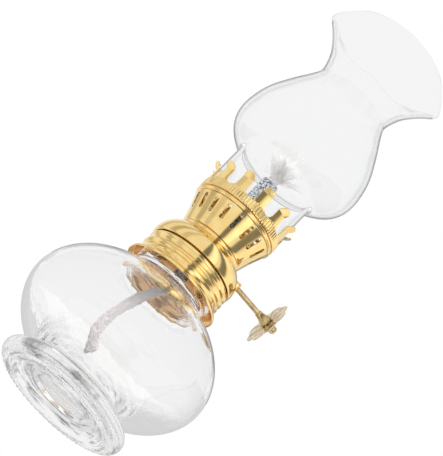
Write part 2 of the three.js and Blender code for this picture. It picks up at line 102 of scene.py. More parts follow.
def number(name, description, value, least, most):
    """A number of like features that a user may change."""
    return IntProperty(name=name, description=description, default=value, min=least, max=most)


def turn_of(name, description, degrees):
    """An angle a user may change, given here in degrees and kept in radians."""
    return FloatProperty(name=name, description=description, default=math.radians(degrees), subtype="ANGLE")


class FontSettings(bpy.types.PropertyGroup):
    """The glass font's sizes and tint."""

    foot_radius: length("Foot radius", "Radius of the foot", 28)
    foot_thickness: length("Foot thickness", "Height of the foot's rounded edge", 6.8)
    waist_radius: length("Waist radius", "Radius where the globe meets the foot", 20.4)
    waist_rise: length("Waist rise", "Height of the waist above the foot", 2.4)
    globe_half_height: length("Globe half height", "Half the height of the globe's full ellipse", 27)
    wall: length("Wall", "Thickness of the globe's glass", 2.6)
    neck_radius: length("Neck radius", "Outside radius of the neck", 15.9)
    neck_height: length("Neck height", "Height of the neck above the shoulder", 12.5)
    tint: colour("Glass tint", "Colour that the font's glass lets through", (0.998, 0.998, 0.998))
    # Painted shade: the font's glass is darkened where it is seen edge on, to draw its outlines.
    painted_edge_shade: colour("Painted edge shade", "Colour of the font's glass seen edge on", (0.66, 0.70, 0.69))
    flutes: number("Flutes", "Small flutes round the ring that the foot stands on", 72, 12, 144)
    flute_depth: length("Flute depth", "Depth of those flutes", 0.34)
    chill_height: length("Chill height", "Height up to which the foot has chill marks", 9.5)
    # Painted shade: the chill marks' streaks are painted dark in the glass.
    chill: colour("Chill marks", "Colour that the foot's chill marks let through", (0.2, 0.195, 0.195))
    # Painted shade: the foot's glass is darkened much more where it is seen edge on.
    painted_foot_edge_shade: colour("Painted foot edge shade", "Colour of the foot's glass seen edge on", (0.20, 0.20, 0.20))


class ChimneySettings(bpy.types.PropertyGroup):
    """The glass chimney's sizes and tint."""

    fitter: length("Fitter radius", "Radius of the straight part between the prongs", 17.2)
    bulb: length("Bulb radius", "Radius at the widest part", 27.8)
    throat: length("Throat radius", "Radius at the narrow neck", 16)
    rim: length("Rim radius", "Mean radius of the crimped rim", 26.6)
    wall: length("Wall", "Thickness of the chimney's glass", 1.4)
    lobes: number("Lobes", "Waves round the rim", 6, 2, 24)
    lobe_lean: length("Lobe lean", "How far a lobe of the rim leans out", 1)
    lobe_droop: length("Lobe droop", "How far a lobe of the rim droops", 0.5)
    crown: length("Crown", "How far the rim rises at two opposite sides", 1.6)
    tint: colour("Glass tint", "Colour that the chimney's glass lets through", (0.996, 0.999, 0.998))
    # Painted shade: the chimney's glass is darkened where it is seen edge on, to draw its outlines.
    painted_edge_shade: colour("Painted edge shade", "Colour of the chimney's glass seen edge on", (0.58, 0.63, 0.62))


class BurnerSettings(bpy.types.PropertyGroup):
    """The brass burner's sizes and colour."""

    sheet: length("Sheet", "Thickness of the pressed brass", 0.45)
    slots: number("Slots", "Keyhole slots round the cone", 18, 6, 36)
    slot_width: length("Slot width", "Width of each slot", 1.6)
    prongs: number("Prongs", "Spring prongs round the gallery", 12, 4, 24)
    knurls: number("Knurls", "Upright ribs round the band", 84, 12, 180)
    knurl_depth: length("Knurl depth", "Depth between two ribs", 0.2)
    gold: colour("Gold", "Colour of the gilt brass", (0.94, 0.71, 0.31))
    rod_gold: colour("Rod gold", "Colour of the spindle, the hub and the nub", (0.66, 0.50, 0.25))
    rod_shade: colour("Rod shade", "Their colour where the gilt is worn", (0.40, 0.27, 0.12))
    bare_brass: colour("Bare brass", "Colour inside the pierced cone", (0.95, 0.88, 0.74))
    aged_brass: colour("Aged brass", "Colour of bare brass inside the collar", (0.95, 0.57, 0.22))
    aged_shade: colour("Aged shade", "Its colour where it has darkened", (0.88, 0.56, 0.25))
    deep_gold: colour("Deep gold", "Colour of the gilt where it is thick", (0.90, 0.63, 0.24))


class KnobSettings(bpy.types.PropertyGroup):
    """The wick knob's sizes and colour."""

    petals: number("Petals", "Petals round the thumb wheel", 8, 5, 16)
    scallop: length("Scallop", "Depth of the notch between two petals", 1.5)
    emboss: length("Emboss", "Height of the pressed petals", 0.5)
    pale_gold: colour("Pale gold", "Colour of the thumb wheel", (0.80, 0.69, 0.50))
    pale_shade: colour("Pale shade", "Its colour in patches", (0.66, 0.52, 0.33))


class WickSettings(bpy.types.PropertyGroup):
    """The cotton wick's sizes and colour."""

    tail_thickness: length("Tail thickness", "Thickness of the flattened tail", 2.4)
    strands: number("Strands", "Loose strands in the tuft", 420, 50, 2000)
    strand_radius: length("Strand radius", "Radius of one strand at its root", 0.105)
    cotton: colour("Cotton", "Colour of the braided cotton", (0.54, 0.51, 0.51))
    # Painted shade: the colour between the braid's threads.
    shade: colour("Shaded cotton", "Colour between the braid's threads", (0.47, 0.44, 0.44))
    fibre: colour("Fibre", "Colour of the loose, clean fibres", (0.97, 0.955, 0.95))
    # Painted shade: the colour between the loose fibres.
    fibre_shade: colour("Fibre shade", "Colour between the loose fibres", (0.88, 0.86, 0.855))


class StageSettings(bpy.types.PropertyGroup):
    """The camera and the light."""

    azimuth: turn_of("Azimuth", "Camera's turn round the lamp", -12.9)
    elevation: turn_of("Elevation", "Camera's height over level", -21.7)
    roll: turn_of("Roll", "How far the lamp leans in the view", 44.5)
    distance: length("Distance", "From the camera to the point it looks at", 1009)
    lens: FloatProperty(name="Lens", description="Focal length in millimetres", default=219.5, min=10)
    aim: FloatVectorProperty(
        name="Aim",
        description="The point the camera looks at",
        default=(-0.0014, 0.0003, 0.0906),
        subtype="XYZ",
        unit="LENGTH",
    )
    day: amount("Room light", "Strength of the even light from all round", 0.8, 4)
    clear: amount("Clear glass light", "How bright the room looks straight through clear glass", 0.91, 2)
    lit_through: amount("Light in glass", "Strength of the even light that reaches pieces in it", 3.5, 6)
    glare: amount("Glare", "How bright the room looks mirrored once in clear glass", 0.93, 2)
    screen: amount("Screen", "How bright the screen behind the lamp looks, mirrored in glass", 0.3, 1)
    inside: amount("Inner light", "How bright the room looks to light that keeps turning in glass", 0.5, 2)
    card: amount("Dark card", "How bright the card beside the font looks, mirrored in glass", 0.66, 1)
    key: amount("Key lamp", "Power of the soft key lamp in watts", 2.2, 100)
    floor_colour: colour("Floor", "Colour of the pale floor", (0.90, 0.90, 0.90))


# ---------------------------------------------------------------- curves and profiles


def from_corner(radius, height, steps):
    """Profile points that lie these steps, out and up in millimetres, from a radius and a height."""
    return np.array((radius, height)) + np.array(steps, float) * MM


def arc(centre, across, up, start, end, count):
    """Points of an ellipse round a centre: its reach across times the cosine, and its reach up times the
    sine, of evenly spaced angles from start to end in degrees."""
    angle = np.radians(np.linspace(start, end, count))
    return np.stack([centre[0] + across * np.cos(angle), centre[1] + up * np.sin(angle)], -1)


def through(knots, count):
    """A smooth curve through knots. Each stretch blends the two straight lines, then the two parabolas, of
    its four nearest knots, whose places along the curve differ by the square root of their distance."""
    knots = np.asarray(knots, float)
    ends = [2 * knots[0] - knots[1], 2 * knots[-1] - knots[-2]]
    padded = np.vstack([ends[:1], knots, ends[1:]])
    place = np.concatenate([[0], np.cumsum(np.linalg.norm(np.diff(padded, axis=0), axis=1) ** 0.5)])
    at = np.linspace(place[1], place[-2], count)
    stretch = np.clip(np.searchsorted(place, at, "right") - 1, 1, len(knots) - 1)
    p = [padded[stretch + k] for k in (-1, 0, 1, 2)]
    t = [place[stretch + k][:, None] for k in (-1, 0, 1, 2)]
    at = at[:, None]

    def between(a, b, low, high):
        return (a * (high - at) + b * (at - low)) / (high - low)

    lines = [between(p[k], p[k + 1], t[k], t[k + 1]) for k in range(3)]
    bows = [between(lines[k], lines[k + 1], t[k], t[k + 2]) for k in range(2)]
    return between(bows[0], bows[1], t[1], t[2])


def path_length(points):
    """The distance along a line of points, up to each of them."""
    steps = np.linalg.norm(np.diff(points, axis=0), axis=1)
    return np.concatenate([[0], np.cumsum(steps)])


def at_distances(points, along, at):
    """The points of a profile at some distances, from the distance along it of each point that it has."""
    return np.stack([np.interp(at, along, points[:, k]) for k in range(2)], -1)


def softened(profile, spacing, reach, closed=False):
    """A profile taken again at even steps along its length, where each point is then the weighted average
    of those within the reach on either side, so that every corner turns into a small round one. The two ends
    of an open profile stay where they are."""
    points = np.vstack([profile, profile[:1]]) if closed else np.asarray(profile, float)
    along = path_length(points)
    at = np.linspace(0, along[-1], max(8, int(along[-1] / spacing)), endpoint=not closed)
    even = at_distances(points, along, at)
    half = max(1, round(reach / spacing))
    weights = np.hanning(2 * half + 3)[1:-1]
    weights = weights / weights.sum()
    if closed:
        padded = np.vstack([even[-half:], even, even[:half]])
    else:
        before = 2 * even[0] - even[half:0:-1]
        after = 2 * even[-1] - even[-2 : -half - 2 : -1]
        padded = np.vstack([before, even, after])
    return np.stack([np.convolve(line, weights, "valid") for line in padded.T], -1)


def unit(vectors):
    """The directions of vectors, each of length one."""
    return vectors / np.linalg.norm(vectors, axis=-1, keepdims=True)


def moved_in(profile, thickness):
    """A profile moved sideways by the thickness, to the left of the way it runs."""
    run = unit(np.gradient(profile, axis=0))
    return profile + thickness * np.stack([-run[:, 1], run[:, 0]], -1)


def smooth_step(value, low, high):
    """0 below low and 1 above high, with a level start and end between them."""
    share = np.clip((value - low) / (high - low), 0, 1)
    return share * share * (3 - 2 * share)


# ---------------------------------------------------------------- surfaces

SAME_PLACE = 1e-7
JOIN_DISTANCE = 1e-6
RIM_ANGLE = math.radians(40)


def round_axis(radius, angle, height):
    """Points at a radius and an angle round the upright axis, and at a height."""
    return np.stack([radius * np.cos(angle), radius * np.sin(angle), height + 0 * angle], -1)


def turned(profile, segments):
    """A grid of points: row i is the profile's point i, at its radius and height, at evenly spaced angles
    round the upright axis."""
    radius, height = np.asarray(profile).T[:, :, None]
    return round_axis(radius, np.linspace(0, 2 * np.pi, segments, endpoint=False), height)


def polar(grid):
    """The radius, the angle and the height of each point of a grid, round the upright axis."""
    return np.hypot(grid[..., 0], grid[..., 1]), np.arctan2(grid[..., 1], grid[..., 0]), grid[..., 2]


def on_knob_axis(grid):
    """A grid made round the upright axis, laid round the knob's axis: its height runs along +X."""
    x, y, z = grid[..., 0], grid[..., 1], grid[..., 2]
    return np.stack([z, KNOB_AXIS.y + y, KNOB_AXIS.z - x], -1)


def grid_faces(shape, wrap_rows, wrap_columns):
    """The corner numbers of the quads between neighbouring points of a grid, and each corner's place."""
    rows, columns = shape
    row = np.arange(rows if wrap_rows else rows - 1)[:, None] + np.zeros((1, columns), int)
    column = np.arange(columns if wrap_columns else columns - 1)[None, :] + np.zeros((rows, 1), int)
    row = row[:, : column.shape[1]]
    column = column[: row.shape[0]]
    up = np.stack([row, row, row + 1, row + 1], -1).reshape(-1, 4)
    across = np.stack([column, column + 1, column + 1, column], -1).reshape(-1, 4)
    return (up % rows) * columns + across % columns, up, across


def close_up(mesh):
    """Merges a mesh's points that lie in one place, which closes its seams and poles."""
    work = bmesh.new()
    work.from_mesh(mesh)
    bmesh.ops.remove_doubles(work, verts=work.verts, dist=SAME_PLACE)
    bmesh.ops.dissolve_degenerate(work, dist=SAME_PLACE, edges=work.edges)
    work.to_mesh(mesh)
    work.free()


def in_scene(name, mesh):
    """A smooth object of this name in the scene, from its mesh."""
    mesh.shade_smooth()
    obj = bpy.data.objects.new(name, mesh)
    bpy.context.scene.collection.objects.link(obj)
    return obj


def surface(name, grids, wrap_rows=False, wrap_columns=True, keep=None):
    """A mesh object from one grid of points or several of one shape. Its UV map holds the distance round
    and the distance along each grid in metres. keep leaves out the quads where it is false."""
    grids = np.asarray(grids, float)
    grids = grids[None] if grids.ndim == 3 else grids
    shape = grids.shape[1:3]
    quads, up, across = grid_faces(shape, wrap_rows, wrap_columns)
    round_steps = np.linalg.norm(np.diff(grids, axis=2, append=grids[:, :, :1]), axis=-1)
    round_length = round_steps.sum(2).mean() / shape[1]
    along_length = np.linalg.norm(np.diff(grids, axis=1), axis=-1).sum(1).mean() / shape[0]
    uv = np.stack([across * round_length, up * along_length], -1)
    if keep is not None:
        quads, uv = quads[keep], uv[keep]
    starts = np.arange(len(grids))[:, None, None] * shape[0] * shape[1]
    faces = (quads[None] + starts).reshape(-1, 4)
    mesh = bpy.data.meshes.new(name)
    mesh.from_pydata(grids.reshape(-1, 3), [], faces)
    layer = mesh.uv_layers.new(name="Sheet")
    layer.data.foreach_set("uv", np.tile(uv, (len(grids), 1, 1)).astype(np.float32).ravel())
    close_up(mesh)
    return in_scene(name, mesh)


def joined(name, parts):
    """One object from several, with the points that meet merged."""
    work = bmesh.new()
    for part in parts:
        work.from_mesh(part.data)
        bpy.data.objects.remove(part)
    mesh = bpy.data.meshes.new(name)
    bmesh.ops.remove_doubles(work, verts=work.verts, dist=JOIN_DISTANCE)
    work.to_mesh(mesh)
    work.free()
    return in_scene(name, mesh)


def thickened(obj, thickness):
    """Gives a sheet its thickness inwards with a Solidify modifier, applied so that its rims can be shaded
    sharp."""
    solid = obj.modifiers.new("Thickness", "SOLIDIFY")
    solid.thickness = thickness
    solid.offset = -1
    solid.use_even_offset = True
    evaluated = obj.evaluated_get(bpy.context.evaluated_depsgraph_get())
    mesh = bpy.data.meshes.new_from_object(evaluated)
    obj.modifiers.clear()
    obj.data = mesh
    mesh.set_sharp_from_angle(angle=RIM_ANGLE)
    return obj


def finished(obj, body, material, node):
    """Gives a piece its material and the body it rides on, and hides the CAD node it stands for."""
    obj.data.materials.clear()
    obj.data.materials.append(finish_named(material))
    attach(obj, body)
    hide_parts(node)


# ---------------------------------------------------------------- shader building

STEEL = (0.56, 0.55, 0.53)
WORN_STEEL = (0.42, 0.41, 0.40)
CLEAN_TIN = (0.50, 0.54, 0.58)
TIN_CRYSTAL = (0.95, 0.96, 0.98)
SOOT = (0.03, 0.03, 0.04)
CORK_GRAIN = (0.30, 0.19, 0.11)
CORK_JOINT = (0.13, 0.075, 0.04)
INSIDE_METALLIC = 0.6
GLASS_IOR = 1.5
# Light that polished glass has turned back more often than this ends in a plain grey, a painted glow that the
# glass gives off.
TURNS_KEPT = 3.5
PAINTED_GLOW_GREY = 0.42
# Chill streaks change fast away from the upright axis and slowly round it: their pattern is read this far
# round a small ring.
STREAK_RING = 3.2 * MM
# The distances from the axis between which the streaks grow in.
STREAKS_FROM = (7 * MM, 12 * MM)
NUMBER, VECTOR = "NodeSocketFloat", "NodeSocketVector"


def add_node(tree, kind, inputs=None, **settings):
    """Adds a shader node. An input is a number, a colour or another node's output."""
    node = tree.nodes.new(kind)
    for key, value in settings.items():
        setattr(node, key, value)
    for key, value in (inputs or {}).items():
        if isinstance(value, bpy.types.NodeSocket):
            tree.links.new(value, node.inputs[key])
        else:
            node.inputs[key].default_value = value
    return node


def math_node(tree, operation, *values, clamp=False):
    """A Math node's output."""
    inputs = dict(enumerate(values))
    return add_node(tree, "ShaderNodeMath", inputs, operation=operation, use_clamp=clamp).outputs[0]


def vector_math(tree, operation, *values):
    """A Vector Math node's output: a number from LENGTH and DOT_PRODUCT, and a vector from the others."""
    node = add_node(tree, "ShaderNodeVectorMath", dict(enumerate(values)), operation=operation)
    return node.outputs["Value" if operation in ("LENGTH", "DOT_PRODUCT") else "Vector"]


def level_part(tree, vector):
    """A vector without its height, and the direction that it then has."""
    level = vector_math(tree, "MULTIPLY", vector, (1, 1, 0))
    return level, vector_math(tree, "NORMALIZE", level)


def height_part(tree, vector):
    """A vector's height."""
    return add_node(tree, "ShaderNodeSeparateXYZ", {0: vector}).outputs[2]


def mixed_colours(tree, factor, first, second):
    """Two colours mixed by a factor. A colour is another node's output, or red, green and blue."""
    first, second = (c if isinstance(c, bpy.types.NodeSocket) else (*c, 1.0) for c in (first, second))
    mix = add_node(tree, "ShaderNodeMix", data_type="RGBA")
    for socket, value in zip((mix.inputs[0], mix.inputs[6], mix.inputs[7]), (factor, first, second)):
        if isinstance(value, bpy.types.NodeSocket):
            tree.links.new(value, socket)
        else:
            socket.default_value = value
    return mix.outputs[2]


def mixed_numbers(tree, factor, first, second):
    """Two numbers mixed by a factor."""
    return add_node(tree, "ShaderNodeMix", {0: factor, 2: first, 3: second}).outputs[0]


def ranged(tree, value, low, high, to_low=0.0, to_high=1.0, smooth=True):
    """A value moved from one range to another, and held inside it."""
    kind = "SMOOTHSTEP" if smooth else "LINEAR"
    inputs = {0: value, 1: low, 2: high, 3: to_low, 4: to_high}
    return add_node(tree, "ShaderNodeMapRange", inputs, interpolation_type=kind).outputs[0]


def noise(tree, vector, scale, detail=2.0, roughness=0.5, distortion=0.0):
    """A noise texture's value."""
    inputs = {
        "Vector": vector,
        "Scale": scale,
        "Detail": detail,
        "Roughness": roughness,
        "Distortion": distortion,
    }
    return add_node(tree, "ShaderNodeTexNoise", inputs).outputs[0]


def cells(tree, vector, scale):
    """The distance to the middle of the nearest of many small cells."""
    inputs = {"Vector": vector, "Scale": scale}
    return add_node(tree, "ShaderNodeTexVoronoi", inputs, feature="F1").outputs["Distance"]


def bumped(tree, height, strength, distance):
    """The normals of a surface with a relief on it."""
    inputs = {"Strength": strength, "Distance": distance, "Height": height}
    return add_node(tree, "ShaderNodeBump", inputs).outputs[0]


def new_material(name):
    """A material with an empty node tree."""
    material = bpy.data.materials.new(name)
    material.use_nodes = True
    material.node_tree.nodes.clear()
    return material, material.node_tree


def show(tree, shader):
    """Makes a shader the surface of its material."""
    add_node(tree, "ShaderNodeOutputMaterial", {"Surface": shader})


def show_principled(tree, inputs):
    """Makes a Principled shader with these inputs the surface of its material."""
    show(tree, add_node(tree, "ShaderNodeBsdfPrincipled", inputs).outputs[0])


def object_place(tree):
    """A point's place in its object."""
    return add_node(tree, "ShaderNodeTexCoord").outputs["Object"]


def new_group(name, inputs, outputs):
    """An empty node group, and its node that gives the inputs out. An input is a default number, or None for
    a vector."""
    group = bpy.data.node_groups.new(name, "ShaderNodeTree")
    for socket, default in inputs.items():
        kind = VECTOR if default is None else NUMBER
        made = group.interface.new_socket(name=socket, in_out="INPUT", socket_type=kind)
        if default is not None:
            made.default_value = default
    for socket, kind in outputs.items():
        group.interface.new_socket(name=socket, in_out="OUTPUT", socket_type=kind)
    return group, group.nodes.new("NodeGroupInput").outputs


def effect(tree, build, inputs):
    """Places a shader node group in a material, built when a material first asks for it. Its outputs."""
    name = build.__name__.replace("_", " ").capitalize()
    group = bpy.data.node_groups.get(name) or build(name)
    return add_node(tree, "ShaderNodeGroup", inputs, node_tree=group).outputs


# ---------------------------------------------------------------- shader groups


def pressed_sheet(name):
    """Pressed metal: slow ripples left by the press, fine hairline grain, and dull specks."""
    group, given = new_group(
        name,
        {"Vector": None, "Ripple size": 260.0, "Grain size": 2600.0, "Relief": 0.06},
        {"Patches": NUMBER, "Grain": NUMBER, "Normal": VECTOR},
    )
    patches = noise(group, given["Vector"], given["Ripple size"], 2.0, 0.55, 0.4)
    grain = noise(group, given["Vector"], given["Grain size"], 3.0, 0.6)
    height = math_node(group, "ADD", patches, math_node(group, "MULTIPLY", grain, 0.12))
    normal = bumped(group, height, given["Relief"], 0.0006)
    add_node(group, "NodeGroupOutput", {"Patches": patches, "Grain": grain, "Normal": normal})
    return group


def dull_inside(name):
    """A mask of the faces that look towards the upright axis: 1 inside a turned shell and 0 outside it."""
    group, given = new_group(name, {"Vector": None, "Normal": None}, {"Inside": NUMBER})
    outward = level_part(group, given["Vector"])[1]
    facing = vector_math(group, "DOT_PRODUCT", outward, given["Normal"])
    add_node(group, "NodeGroupOutput", {"Inside": ranged(group, facing, 0.05, -0.15)})
    return group


def chill_marks(name):
    """Chill marks in a moulded foot: fine streaks that run round the upright axis, and fade out above the
    foot and towards its middle. The font's glass paints these streaks dark, as painted shade."""
    group, given = new_group(
        name,
        {"Vector": None, "Top": 0.009, "Streak size": 620.0},
        {"Streaks": NUMBER, "Foot": NUMBER},
    )
    level, outward = level_part(group, given["Vector"])
    radius = vector_math(group, "LENGTH", level)
    drawn_out = vector_math(group, "MULTIPLY", outward, (STREAK_RING, STREAK_RING, STREAK_RING))
    away = add_node(group, "ShaderNodeCombineXYZ", {2: radius}).outputs[0]
    ringed = vector_math(group, "ADD", drawn_out, away)
    streaks = ranged(group, noise(group, ringed, given["Streak size"], 3.0, 0.6), 0.47, 0.66)
    share = math_node(group, "DIVIDE", height_part(group, given["Vector"]), given["Top"])
    foot = ranged(group, share, 1.0, 0.75)
    rim = ranged(group, radius, *STREAKS_FROM)
    marks = math_node(group, "MULTIPLY", streaks, math_node(group, "MULTIPLY", foot, rim))
    add_node(group, "NodeGroupOutput", {"Streaks": marks, "Foot": foot})
    return group


def cotton_threads(name):
    """Soft cotton: crossed threads along the UV map, and fuzz that breaks them up."""
    group, given = new_group(
        name,
        {"Sheet": None, "Vector": None, "Thread size": 0.0007, "Relief": 0.6},
        {"Threads": NUMBER, "Fuzz": NUMBER, "Normal": VECTOR},
    )
    axes = add_node(group, "ShaderNodeSeparateXYZ", {0: given["Sheet"]})
    turn = math_node(group, "DIVIDE", 2 * math.pi, given["Thread size"])
    across = math_node(group, "MULTIPLY", axes.outputs[0], turn)
    along = math_node(group, "MULTIPLY", math_node(group, "MULTIPLY", axes.outputs[1], turn), 0.6)
    left = math_node(group, "SINE", math_node(group, "ADD", across, along))
    right = math_node(group, "SINE", math_node(group, "SUBTRACT", across, along))
    threads = ranged(group, math_node(group, "MULTIPLY", left, right), -1.0, 1.0, smooth=False)
    fuzz = noise(group, given["Vector"], 2200.0, 4.0, 0.65)
    height = math_node(group, "ADD", threads, math_node(group, "MULTIPLY", fuzz, 0.8))
    normal = bumped(group, height, given["Relief"], 0.0003)
    add_node(group, "NodeGroupOutput", {"Threads": threads, "Fuzz": fuzz, "Normal": normal})
    return group


# ---------------------------------------------------------------- materials


def metal(name, bright, deep, roughness, relief, metallic=1.0, inside=None):
    """A metal whose colour drifts between two tones in slow patches, and whose polish varies with its grain.
    A shell may have another, bare colour inside."""
    material, tree = new_material(name)
    coordinates = add_node(tree, "ShaderNodeTexCoord").outputs
    sheet = effect(tree, pressed_sheet, {"Vector": coordinates["Object"], "Relief": relief})
    tone = ranged(tree, sheet["Patches"], 0.35, 0.75)
    shine = ranged(tree, sheet["Grain"], 0.3, 0.7, roughness * 0.75, roughness * 1.35)
    skin_colour = mixed_colours(tree, tone, bright, deep)
    if inside is not None:
        place = {"Vector": coordinates["Object"], "Normal": coordinates["Normal"]}
        within = effect(tree, dull_inside, place)["Inside"]
        skin_colour = mixed_colours(tree, within, skin_colour, inside)
        metallic = ranged(tree, within, 0.0, 1.0, metallic, INSIDE_METALLIC)
    show_principled(
        tree,
        {
            "Base Color": skin_colour,
            "Metallic": metallic,
            "Roughness": shine,
            "Normal": sheet["Normal"],
        },
    )
    return material


def speckled_tin(name):
    """Tinned sheet crusted with soot and bright crystals: dark and light flecks over a blue-grey ground."""
    material, tree = new_material(name)
    place = object_place(tree)
    sheet = effect(tree, pressed_sheet, {"Vector": place, "Relief": 0.5})
    soot = ranged(tree, noise(tree, place, 1500.0, 3.0, 0.7), 0.48, 0.56)
    crystals = ranged(tree, cells(tree, place, 1500.0), 0.42, 0.2)
    ground = mixed_colours(tree, soot, CLEAN_TIN, SOOT)
    show_principled(
        tree,
        {
            "Base Color": mixed_colours(tree, crystals, ground, TIN_CRYSTAL),
            "Metallic": 0.3,
            "Roughness": ranged(tree, sheet["Grain"], 0.3, 0.7, 0.3, 0.6),
            "Normal": sheet["Normal"],
        },
    )
    return material


def clear_glass(name, glass, wave, relief, chilled=False):
    """Clear moulded glass with slow waves in its surface. Where it is seen edge on its colour is darkened, a
    painted shade that draws its outlines, and in a chilled piece the chill marks of its foot are painted
    dark, as shade. Light that keeps turning back inside it ends in a plain grey, a painted glow that the
    glass gives off."""
    material, tree = new_material(name)
    place = object_place(tree)
    waves = noise(tree, place, wave, 1.5, 0.5, 0.6)
    ripples = noise(tree, place, wave * 5, 2.0, 0.5)
    height = math_node(tree, "ADD", waves, math_node(tree, "MULTIPLY", ripples, 0.12))
    facing = add_node(tree, "ShaderNodeLayerWeight", {"Blend": 0.5}).outputs["Facing"]
    # Painted shade: the glass's colour darkens where it is seen edge on.
    edge_on = ranged(tree, facing, 0.72, 1.0)
    body, rim = glass.tint, glass.painted_edge_shade
    if chilled:
        # The chill marks' streaks are painted dark as shade, and the foot seen edge on gets a darker painted
        # shade.
        marks = effect(tree, chill_marks, {"Vector": place, "Top": glass.chill_height})
        body = mixed_colours(tree, marks["Streaks"], body, glass.chill)
        rim = mixed_colours(tree, marks["Foot"], rim, glass.painted_foot_edge_shade)
    # Painted glow: the glass gives off a plain grey where light has turned back inside it too often.
    turned_back = add_node(tree, "ShaderNodeLightPath").outputs["Glossy Depth"]
    painted_glow = ranged(tree, turned_back, TURNS_KEPT - 0.1, TURNS_KEPT + 0.1, 0.0, PAINTED_GLOW_GREY)
    show_principled(
        tree,
        {
            "Base Color": mixed_colours(tree, edge_on, body, rim),
            "Roughness": 0.0,
            "IOR": GLASS_IOR,
            "Transmission Weight": 1.0,
            "Emission Color": painted_glow,
            "Emission Strength": 1.0,
            "Normal": bumped(tree, height, relief, 0.001),
        },
    )
    return material


def cotton(name, light, shade, sheen, relief):
    """Undyed cotton, darker between its threads, where shade is painted, and with a soft sheen."""
    material, tree = new_material(name)
    coordinates = add_node(tree, "ShaderNodeTexCoord").outputs
    place = {"Sheet": coordinates["UV"], "Vector": coordinates["Object"], "Relief": relief}
    threads = effect(tree, cotton_threads, place)
    worn = ranged(tree, threads["Fuzz"], 0.35, 0.7)
    # Painted shade between the threads, and random worn patches from the fuzz.
    thread_shade = ranged(tree, threads["Threads"], 0.45, 0.05)
    dark = math_node(tree, "MULTIPLY", math_node(tree, "ADD", worn, thread_shade), 0.45, clamp=True)
    show_principled(
        tree,
        {
            "Base Color": mixed_colours(tree, dark, light, shade),
            "Roughness": 0.95,
            "Sheen Weight": sheen,
            "Sheen Roughness": 0.5,
            "Specular IOR Level": 0.15,
            "Normal": threads["Normal"],
        },
    )
    return material


def cork_gasket(name):
    """Pressed cork: brown granules with darker joints."""
    material, tree = new_material(name)
    granules = cells(tree, object_place(tree), 900.0)
    joints = ranged(tree, granules, 0.15, 0.6)
    show_principled(
        tree,
        {
            "Base Color": mixed_colours(tree, joints, CORK_GRAIN, CORK_JOINT),
            "Roughness": 0.85,
            "Normal": bumped(tree, granules, 0.5, 0.0003),
        },
    )
    return material


def finish_named(name):
    """The lamp's material of this name, built from the settings when a piece first asks for it."""
    if name in bpy.data.materials:
        return bpy.data.materials[name]
    scene = bpy.context.scene
    font, chimney, burner = scene.lamp_font, scene.lamp_chimney, scene.lamp_burner
    knob, wick = scene.lamp_knob, scene.lamp_wick
    gilt = {"bright": burner.gold, "deep": burner.deep_gold, "relief": 0.04}
    rod = {"bright": burner.rod_gold, "deep": burner.rod_shade, "relief": 0.02}
    pale = {"bright": knob.pale_gold, "deep": knob.pale_shade, "relief": 0.0}
    aged = {"bright": burner.aged_brass, "deep": burner.aged_shade, "relief": 0.1}
    steel = {"bright": STEEL, "deep": WORN_STEEL, "relief": 0.15}
    makers = {
        "Gilt sheet": lambda: metal(name, roughness=0.09, **gilt),
        "Collar sheet": lambda: metal(name, roughness=0.1, inside=burner.aged_brass, **gilt),
        "Cone sheet": lambda: metal(name, roughness=0.09, inside=burner.bare_brass, **gilt),
        "Gilt rod": lambda: metal(name, roughness=0.2, **rod),
        "Pale brass": lambda: metal(name, roughness=0.14, metallic=0.75, **pale),
        "Aged brass": lambda: metal(name, roughness=0.4, **aged),
        "Steel": lambda: metal(name, roughness=0.3, **steel),
        "Sooty tin": lambda: speckled_tin(name),
        "Font glass": lambda: clear_glass(name, font, wave=55.0, relief=0.28, chilled=True),
        "Chimney glass": lambda: clear_glass(name, chimney, wave=45.0, relief=0.05),
        "Wick cotton": lambda: cotton(name, wick.cotton, wick.shade, sheen=0.3, relief=0.15),
        "Tuft cotton": lambda: cotton(name, wick.fibre, wick.fibre_shade, sheen=0.5, relief=0.3),
        "Cork": lambda: cork_gasket(name),
    }
    return makers[name]()


# ---------------------------------------------------------------- the wick

# The tail's route, down to its free end over the font's floor: x and y in millimetres, and the share of the
# way up from where the end lies to the bottom of the wick's straight part.
TAIL_ROUTE = [
    (0, 0, 1),
    (0, 0, 0.94),
    (-0.9, 0.2, 0.87),
    (-2.6, 0.6, 0.78),
    (-4.6, 1, 0.66),
    (-5.9, 1.3, 0.52),
    (-6.8, 1.5, 0.4),
    (-7.4, 1.7, 0.28),
    (-7.5, 1.7, 0.2),
    (-6.9, 1.5, 0.12),
    (-5.3, 1.2, 0.05),
    (-3.2, 0.7, 0),
]
TAIL_LOW = 18 * MM
TAIL_GAP = 0.3 * MM
TAIL_SPREAD = 2.2 * MM
# The level direction that the tail's flat side faces.
TAIL_FACING = (0.28, 0.96, 0.0)
TUFT_SEED = 12
WISPS = 30
# The turn from one wisp to the next that spreads any number of them evenly.
GOLDEN_TURN = 2.39996


